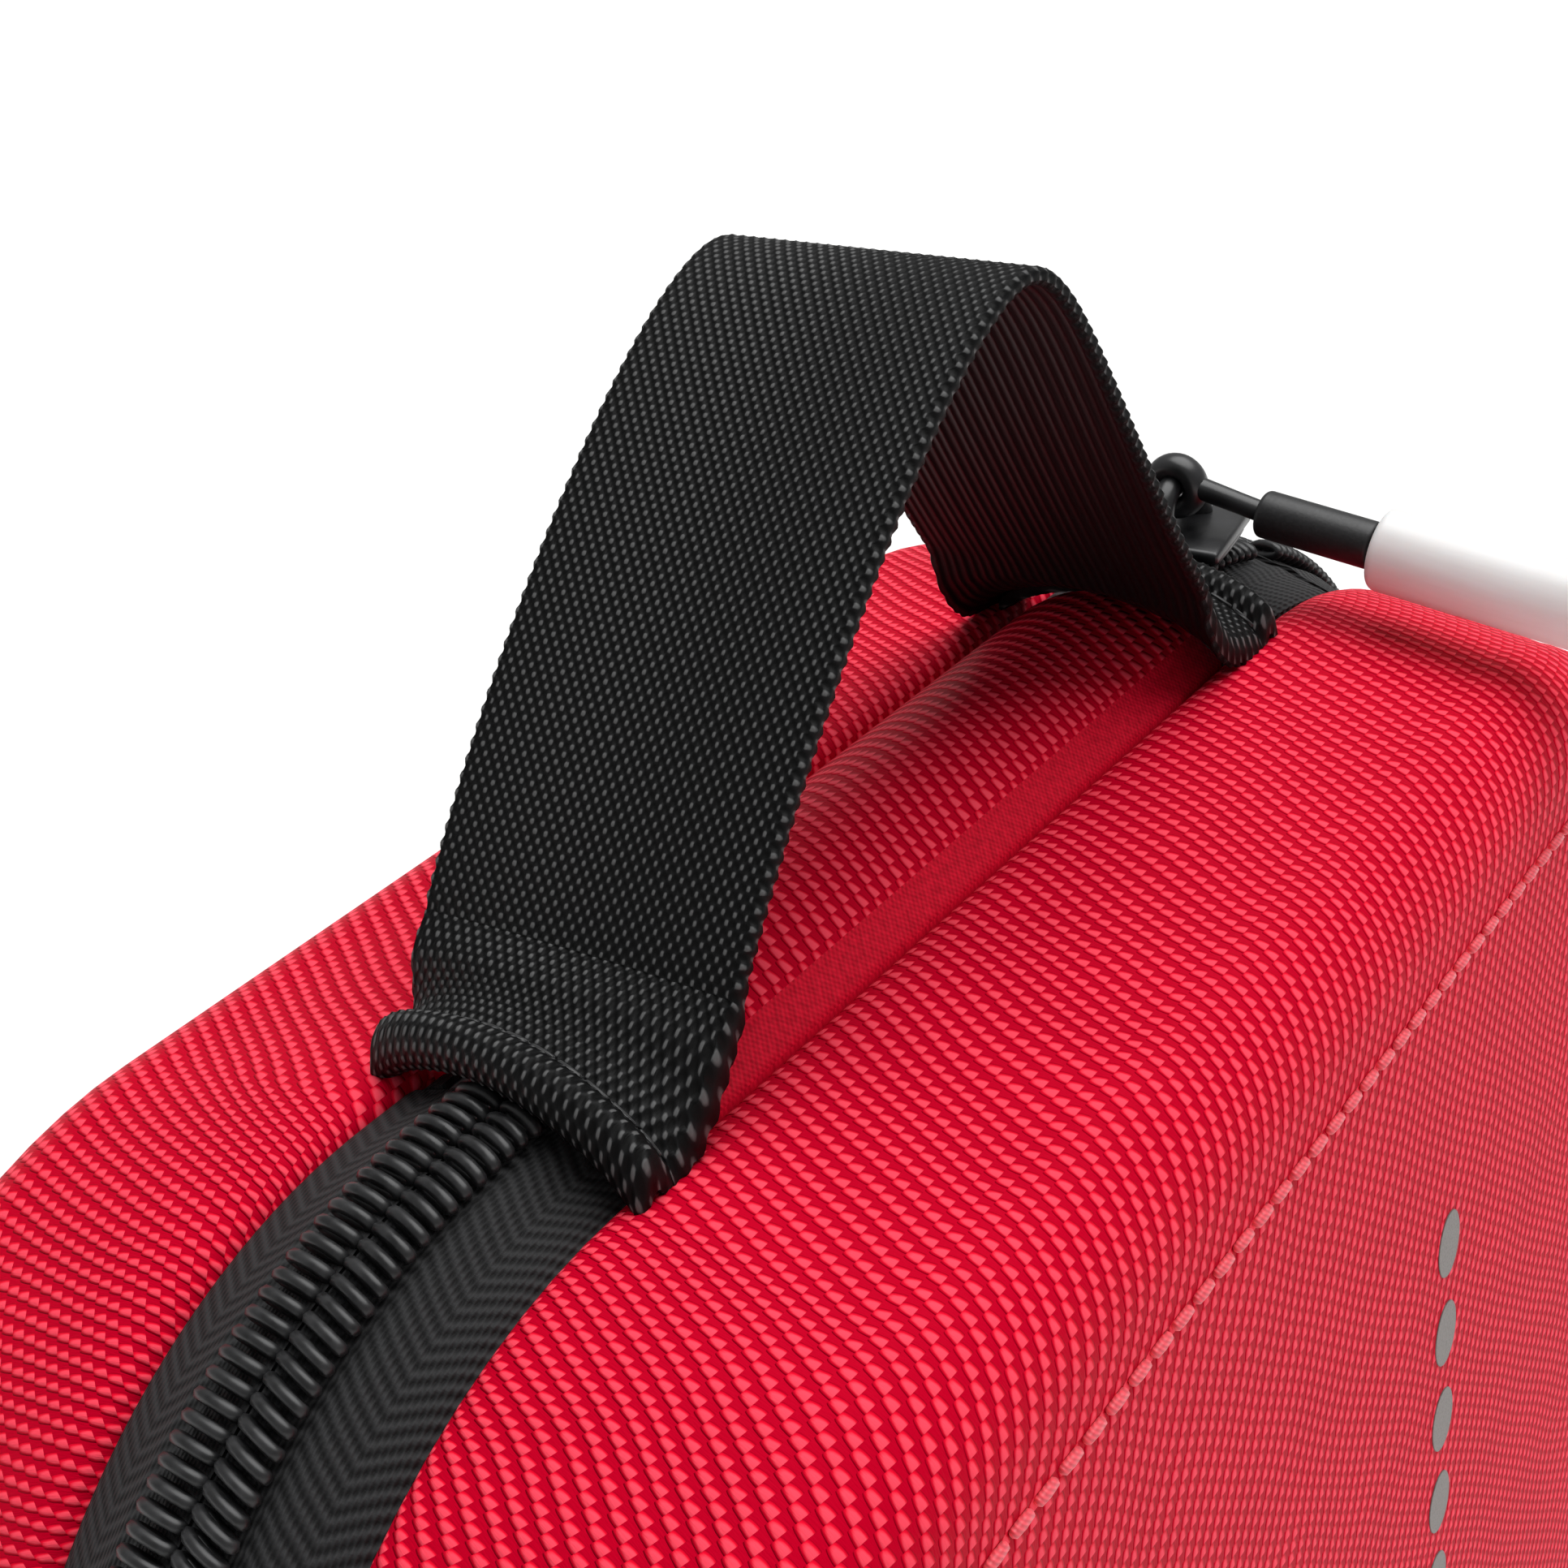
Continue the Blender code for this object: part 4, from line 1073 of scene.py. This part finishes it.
def turned_tube(name, profile, start, around=40):
    """A closed profile of radius and distance, turned about the puller's line."""
    profile = np.array(profile + profile[:1])
    axis = np.array(toward)
    side = np.array((1.0, 0.0, 0.0))
    rise = np.cross(axis, side)
    last = len(profile) - 1

    def place(u, v):
        at = np.rint(v * last).astype(int)
        angle = 2 * math.pi * u
        return (np.array(start) + axis * profile[at, 1][:, None]
                + side * (np.cos(angle) * profile[at, 0])[:, None]
                + rise * (np.sin(angle) * profile[at, 0])[:, None])

    def measure(u, v):
        return np.stack((u * 20.0, profile[np.rint(v * last).astype(int), 1] * 1000), axis=1)

    piece = wrapped(name, around, last, place, measure)
    smooth(piece, 40.0)
    return piece


def rounded_profile(bore, radius, long, round_r):
    """A tube's profile: bore, outer radius and length, its outer edges rounded at both ends."""
    turns = [math.radians(90 * k / 6) for k in range(7)]
    core_r = radius - round_r
    points = [(bore, 0.0)]
    points += [(core_r + round_r * math.sin(a), round_r - round_r * math.cos(a)) for a in turns]
    points += [(radius, long * k / 6) for k in range(1, 6)]
    points += [(core_r + round_r * math.cos(a), long - round_r + round_r * math.sin(a)) for a in turns]
    points += [(bore, long), (bore, long * 0.66), (bore, long * 0.33)]
    return points


def moulded_nylon():
    """Nylon, injection moulded: near-black with a dull satin face and a fine spark-eroded grain."""
    material, tree = new_material("nylon_moulded_black", "#1a1a1b", 0.45)
    spot = add(tree, "TexCoord").outputs["Object"]
    grain = add(tree, "TexNoise", {"Vector": spot, "Scale": 3200.0, "Detail": 2.0})
    tone = add(tree, "MixRGB", {"Fac": grain, "Color1": linear("#121213"), "Color2": linear("#262627")})
    rough = add(tree, "Math", {0: grain, 1: 0.2, 2: 0.34}, operation="MULTIPLY_ADD")
    return surfaced(material, tone, grain, 0.35, 0.00004, rough)


def milky_silicone():
    """Silicone rubber, extruded: milky white, lets a little light through, soft satin skin."""
    material, tree = new_material("silicone_extruded_milky", "#f4f2f0", 0.34, subsurface_weight=0.35,
                                  subsurface_scale=0.002, subsurface_radius=(1.0, 0.8, 0.7))
    cloth = add(tree, "UVMap", uv_map="cloth")
    drawn = add(tree, "Mapping", {"Vector": cloth, "Scale": (1.4, 0.12, 1.0)})
    streak = add(tree, "TexNoise", {"Vector": drawn, "Scale": 1.0, "Detail": 3.0})
    tone = add(tree, "MixRGB", {"Fac": streak, "Color1": linear("#eeebe9"), "Color2": linear("#fbfaf9")})
    rough = add(tree, "Math", {0: streak, 1: 0.15, 2: 0.28}, operation="MULTIPLY_ADD")
    return surfaced(material, tone, streak, 0.1, 0.0001, rough)


ferrule_gap, ferrule_long, ferrule_r = 0.0024, 0.0122, 0.00240
sleeve_long, sleeve_r, sleeve_bore = 0.0320, 0.00415, 0.0027
mouth = bend_at + toward * ferrule_gap + raised
ferrule = turned_tube("ferrule", rounded_profile(0.00122, ferrule_r, ferrule_long, 0.0006), mouth)
ferrule.data.materials.append(moulded_nylon())
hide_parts("puller_ferrule")
sleeve_from = mouth + toward * (ferrule_long + 0.0003)
sleeve = turned_tube("sleeve", rounded_profile(sleeve_bore, sleeve_r, sleeve_long, 0.0009), sleeve_from, 56)
sleeve.data.materials.append(milky_silicone())
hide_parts("puller_sleeve")
core_steps = [(0.0, 0.0010), (0.0002, 0.0014), (0.0006, 0.0016), (0.010, 0.0016), (0.020, 0.0016),
              (0.0305, 0.0016), (0.0312, 0.0014), (0.0315, 0.0010), (0.0316, 0.0005)]
core_route = [tuple(sleeve_from + toward * along) for along, radius in core_steps]
core = bar("puller_cord", core_route, [(radius, radius) for along, radius in core_steps], (1.0, 0.0, 0.0), 24)
core.data.materials.append(webbing)
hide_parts("puller_core")
for piece in (ferrule, sleeve, core):
    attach(piece, "puller")

# ---- Linings --------------------------------------------------------------------------------
# Each tray and the spine are lined with grey warp-knitted polyester, bonded to the foam. A black
# tape binds the raw edge inside each rim.
def knitted_lining():
    """Warp-knitted polyester: fine wales 0.9 mm apart, drawn coarser than real so that they show, with
    a soft matt nap."""
    material, tree = new_material("polyester_lining_knitted_grey", "#56575c", 0.85, sheen_weight=0.25,
                                  sheen_roughness=0.5)
    spot = add(tree, "TexCoord").outputs["Object"]
    place = add(tree, "SeparateXYZ", {0: spot})
    wales = wave(tree, place.outputs[0], 0.0009)
    courses = wave(tree, place.outputs[2], 0.0011)
    depth = wave(tree, place.outputs[1], 0.0011)
    crossed = add(tree, "Math", {0: wales, 1: courses}, operation="MULTIPLY")
    loops = add(tree, "Math", {0: crossed, 1: 1.0, 2: depth}, operation="MULTIPLY_ADD")
    nap = add(tree, "TexNoise", {"Vector": spot, "Scale": 900.0, "Detail": 3.0})
    relief = add(tree, "Math", {0: loops, 1: 0.22, 2: nap}, operation="MULTIPLY_ADD")
    tone = add(tree, "MixRGB", {"Fac": relief, "Color1": linear("#45464b"), "Color2": linear("#6b6c72")})
    return surfaced(material, tone, relief, 0.8, 0.00018)


def binding_tape():
    """Folded polyester tape: fine crosswise ribs, 0.8 mm apart, and a dull black face."""
    material, tree = new_material("polyester_binding_woven_black", "#18181a", 0.78, sheen_weight=0.05)
    place = add(tree, "SeparateXYZ", {0: add(tree, "TexCoord").outputs["Object"]})
    spread = add(tree, "Math", {0: place.outputs[0], 1: place.outputs[2]}, operation="ADD")
    ribs = wave(tree, spread, 0.0008)
    relief = add(tree, "Math", {0: ribs, 1: 0.5, 2: 0.5}, operation="MULTIPLY_ADD")
    tone = add(tree, "MixRGB", {"Fac": relief, "Color1": linear("#0c0c0d"), "Color2": linear("#29292b")})
    return surfaced(material, tone, relief, 0.7, 0.00012)


for finish, nodes in ((knitted_lining(), ("rear_lining", "front_lining", "spine_lining")),
                      (binding_tape(), ("rear_binding", "front_binding"))):
    for node in nodes:
        for material_slot in frame["nodes"][node].material_slots:
            material_slot.material = finish

# ---- Blanket --------------------------------------------------------------------------------
# A 1.2 by 1.8 m blanket of woven glass cloth with a silicone wash. It is folded in six, to 0.2 m
# high, and then zigzag in eleven runs, to 162 mm wide, and lies in the rear half.
blanket_low, blanket_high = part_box("blanket")
blanket_w = blanket_high.x - blanket_low.x
blanket_deep = blanket_high.y - blanket_low.y
layers, runs = 6, 11
cloth_t = 0.00045
layer_gap = (blanket_deep - cloth_t) / (layers * runs - 1)
run_gap = layer_gap * layers
height_of_fold = 0.1990


def zigzag(count, long, gap, straight_steps, bend_steps, start):
    """A flat zigzag of straight runs joined by half-round bends: points, normals and distances."""
    points = []
    reach = long / 2 - gap / 2
    for run in range(count):
        way = 1 if run % 2 == 0 else -1
        level = start + gap * run
        for k in range(straight_steps + 1):
            points.append((way * (-reach + 2 * reach * k / straight_steps), level, 0.0, way))
        if run < count - 1:
            for k in range(1, bend_steps):
                angle = math.pi * k / bend_steps
                points.append((way * (reach + gap / 2 * math.sin(angle)),
                               level + gap / 2 * (1 - math.cos(angle)),
                               way * math.sin(angle), way * math.cos(angle)))
    return np.array(points)


half_stack = layer_gap * (layers - 1) / 2
wide = zigzag(runs, blanket_w - 0.0006, run_gap, 12, 8, blanket_low.y + cloth_t / 2 + half_stack)
tall = zigzag(layers, height_of_fold, layer_gap, 10, 4, -half_stack)
wide_run, tall_run = lengths(wide), lengths(tall)
mid_blanket_z = (blanket_low.z + blanket_high.z) / 2
blanket_x = (blanket_low.x + blanket_high.x) / 2


def place(u, v):
    a = np.rint(u * (len(wide) - 1)).astype(int)
    b = np.rint(v * (len(tall) - 1)).astype(int)
    # Each run's layers are set off from its middle line along its normal.
    away = tall[b, 1]
    x = wide[a, 0] - wide[a, 2] * away
    y = wide[a, 1] + wide[a, 3] * away
    soft = 0.0012 * np.sin(38.0 * x + 90.0 * y) + 0.0008 * np.sin(91.0 * x - 260.0 * y + 1.3)
    z = mid_blanket_z + tall[b, 0] * (1.0 + soft / 0.1)
    return np.stack((blanket_x + x, y, z), axis=1)


def measure(u, v):
    a = np.rint(u * (len(wide) - 1)).astype(int)
    b = np.rint(v * (len(tall) - 1)).astype(int)
    return np.stack((wide_run[a], tall_run[b]), axis=1) * 1000


def glass_cloth():
    """Woven glass-fibre cloth, silicone washed: creamy white satin yarns 1.6 mm apart, drawn a little
    coarser than real, with a faint yellow cast between them."""
    material, tree = new_material("glass_cloth_woven_white", "#e6e1d4", 0.55, sheen_weight=0.1)
    cloth = add(tree, "UVMap", uv_map="cloth")
    place = add(tree, "SeparateXYZ", {0: cloth})
    warp = wave(tree, place.outputs[0], 1.6)
    weft = wave(tree, place.outputs[1], 1.6)
    crossed = add(tree, "Math", {0: warp, 1: weft}, operation="MULTIPLY")
    weave = add(tree, "Math", {0: crossed, 1: 0.5, 2: 0.5}, operation="MULTIPLY_ADD")
    tone = add(tree, "MixRGB", {"Fac": weave, "Color1": linear("#d3cbb8"), "Color2": linear("#f1eee6")})
    return surfaced(material, tone, weave, 0.7, 0.00015)


blanket = wrapped("folded_blanket", len(wide) - 1, len(tall) - 1, place, measure, tube=False)
thick = blanket.modifiers.new("thickness", "SOLIDIFY")
thick.thickness, thick.offset = cloth_t, 0.0
bpy.context.view_layer.objects.active = blanket
bpy.ops.object.modifier_apply(modifier=thick.name)
smooth(blanket, 60.0)
blanket.data.materials.append(glass_cloth())
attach(blanket, "rear_half")
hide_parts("blanket")

# ---- Pull tapes -----------------------------------------------------------------------------
# Two loops of 25 mm black webbing, each sewn to the blanket's front with two rows of stitches. A
# pull on both draws the blanket out of the case.
def flat_section(u, steps, edge):
    """For shares of the way round a flat strip: the share across it, from 1 down to -1 and back,
    and the face, 1 for the outer one, -1 for the inner one and 0 at the edges between them."""
    turn = np.rint(u * (2 * steps + 4)) % (2 * steps + 4)
    over = turn <= steps
    under = (turn >= steps + 2) & (turn <= 2 * steps + 2)
    across = np.where(over, 1.0 - 2.0 * turn / steps, -1.0 + 2.0 * (turn - steps - 2) / steps)
    across = np.where(turn == steps + 1, -edge, np.where(turn == 2 * steps + 3, edge, across))
    return across, np.where(over, 1, np.where(under, -1, 0))


pull_steps, pull_w = 28, 25.0
for name in ("left", "right"):
    low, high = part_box("pull_tape_" + name)
    mid_x, tape_half = (low.x + high.x) / 2, (high.x - low.x) / 2

    def place(u, v):
        share, face = flat_section(u, pull_steps, 1.03)
        y = np.where(face > 0, low.y + 0.00012, np.where(face < 0, high.y - 0.0001, (low.y + high.y) / 2))
        z = high.z - (high.z - low.z) * v
        sag = 0.0008 * np.sin(np.pi * v) ** 2
        return np.stack((mid_x + share * tape_half * 0.97, y - sag * 0.2, z), axis=1)

    def measure(u, v):
        across = pull_w / 2 - pull_w * u * (2 * pull_steps + 4) / pull_steps
        return np.stack((across, (high.z - low.z) * 1000 * v), axis=1)

    pull = wrapped("pull_loop_" + name, 2 * pull_steps + 4, 60, place, measure)
    smooth(pull, 50.0)
    pull.data.materials.append(webbing)
    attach(pull, "rear_half")
    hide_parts("pull_tape_" + name)
    for end, drop in (("_a", 0.0035), ("_b", 0.0140)):
        path = [(mid_x + reach, low.y - 0.00002, high.z - drop) for reach in (-0.0105, 0.0105)]
        row = repeated("pull_stitch_" + name + end, stitch_pattern(0.0022, 0.00026),
                       along_line(path, 0.0028, (0.0, -1.0, 0.0)))
        row.data.materials.append(black_thread)
        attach(row, "rear_half")

# ---- Elastic bands --------------------------------------------------------------------------
# Two 25 mm bands of woven elastic, sewn to the sides of the rear lining, hold the blanket in.
def woven_elastic():
    """Woven elastic: narrow lengthwise cords, 1.5 mm apart, under a fine crosswise filament, matt black."""
    material, tree = new_material("elastic_woven_black", "#161617", 0.7, sheen_weight=0.08)
    cloth = add(tree, "UVMap", uv_map="cloth")
    place = add(tree, "SeparateXYZ", {0: cloth})
    cords = wave(tree, place.outputs[0], 1.5)
    picks = wave(tree, place.outputs[1], 0.7)
    relief = add(tree, "Math", {0: picks, 1: 0.3, 2: cords}, operation="MULTIPLY_ADD")
    share = add(tree, "Math", {0: relief, 1: 0.38, 2: 0.5}, operation="MULTIPLY_ADD")
    tone = add(tree, "MixRGB", {"Fac": share, "Color1": linear("#0a0a0b"), "Color2": linear("#303033")})
    return surfaced(material, tone, share, 0.8, 0.0002)


elastic = woven_elastic()
band_half_t, band_w = 0.0006, 25.0
band_steps, band_rows = 18, 120
round_r = 0.0085
for name in ("lower", "upper"):
    low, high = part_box("elastic_band_" + name)
    reach = high.x - 0.0007
    front_y = low.y + 0.0007
    route = [(-reach, high.y), (-reach, front_y + round_r + 0.010)]
    for step in range(9):
        angle = math.radians(180 + 90 * step / 8)
        route.append((-(reach - round_r) + round_r * math.cos(angle),
                      front_y + round_r + round_r * math.sin(angle)))
    route += [(-(reach - round_r) * (1 - k / 10), front_y) for k in range(1, 10)]
    route += [(0.0, front_y)] + [(-x, y) for x, y in reversed(route)]
    route = np.array(route)
    run = lengths(route)
    tangent = np.gradient(route, axis=0)
    tangent /= np.linalg.norm(tangent, axis=1)[:, None]

    def place(u, v):
        share, face = flat_section(u, band_steps, 1.02)
        at = np.rint(v * band_rows) / band_rows * run[-1]
        x, y = np.interp(at, run, route[:, 0]), np.interp(at, run, route[:, 1])
        tx, ty = np.interp(at, run, tangent[:, 0]), np.interp(at, run, tangent[:, 1])
        out = face * band_half_t
        z = (low.z + high.z) / 2 + share * (high.z - low.z) / 2 * 0.98
        return np.stack((x + ty * out, y - tx * out, z), axis=1)

    def measure(u, v):
        across = band_w / 2 - band_w * u * (2 * band_steps + 4) / band_steps
        return np.stack((across, run[-1] * 1000 * v), axis=1)

    band = wrapped("elastic_strap_" + name, 2 * band_steps + 4, band_rows, place, measure)
    smooth(band, 50.0)
    band.data.materials.append(elastic)
    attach(band, "rear_half")
    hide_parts("elastic_band_" + name)
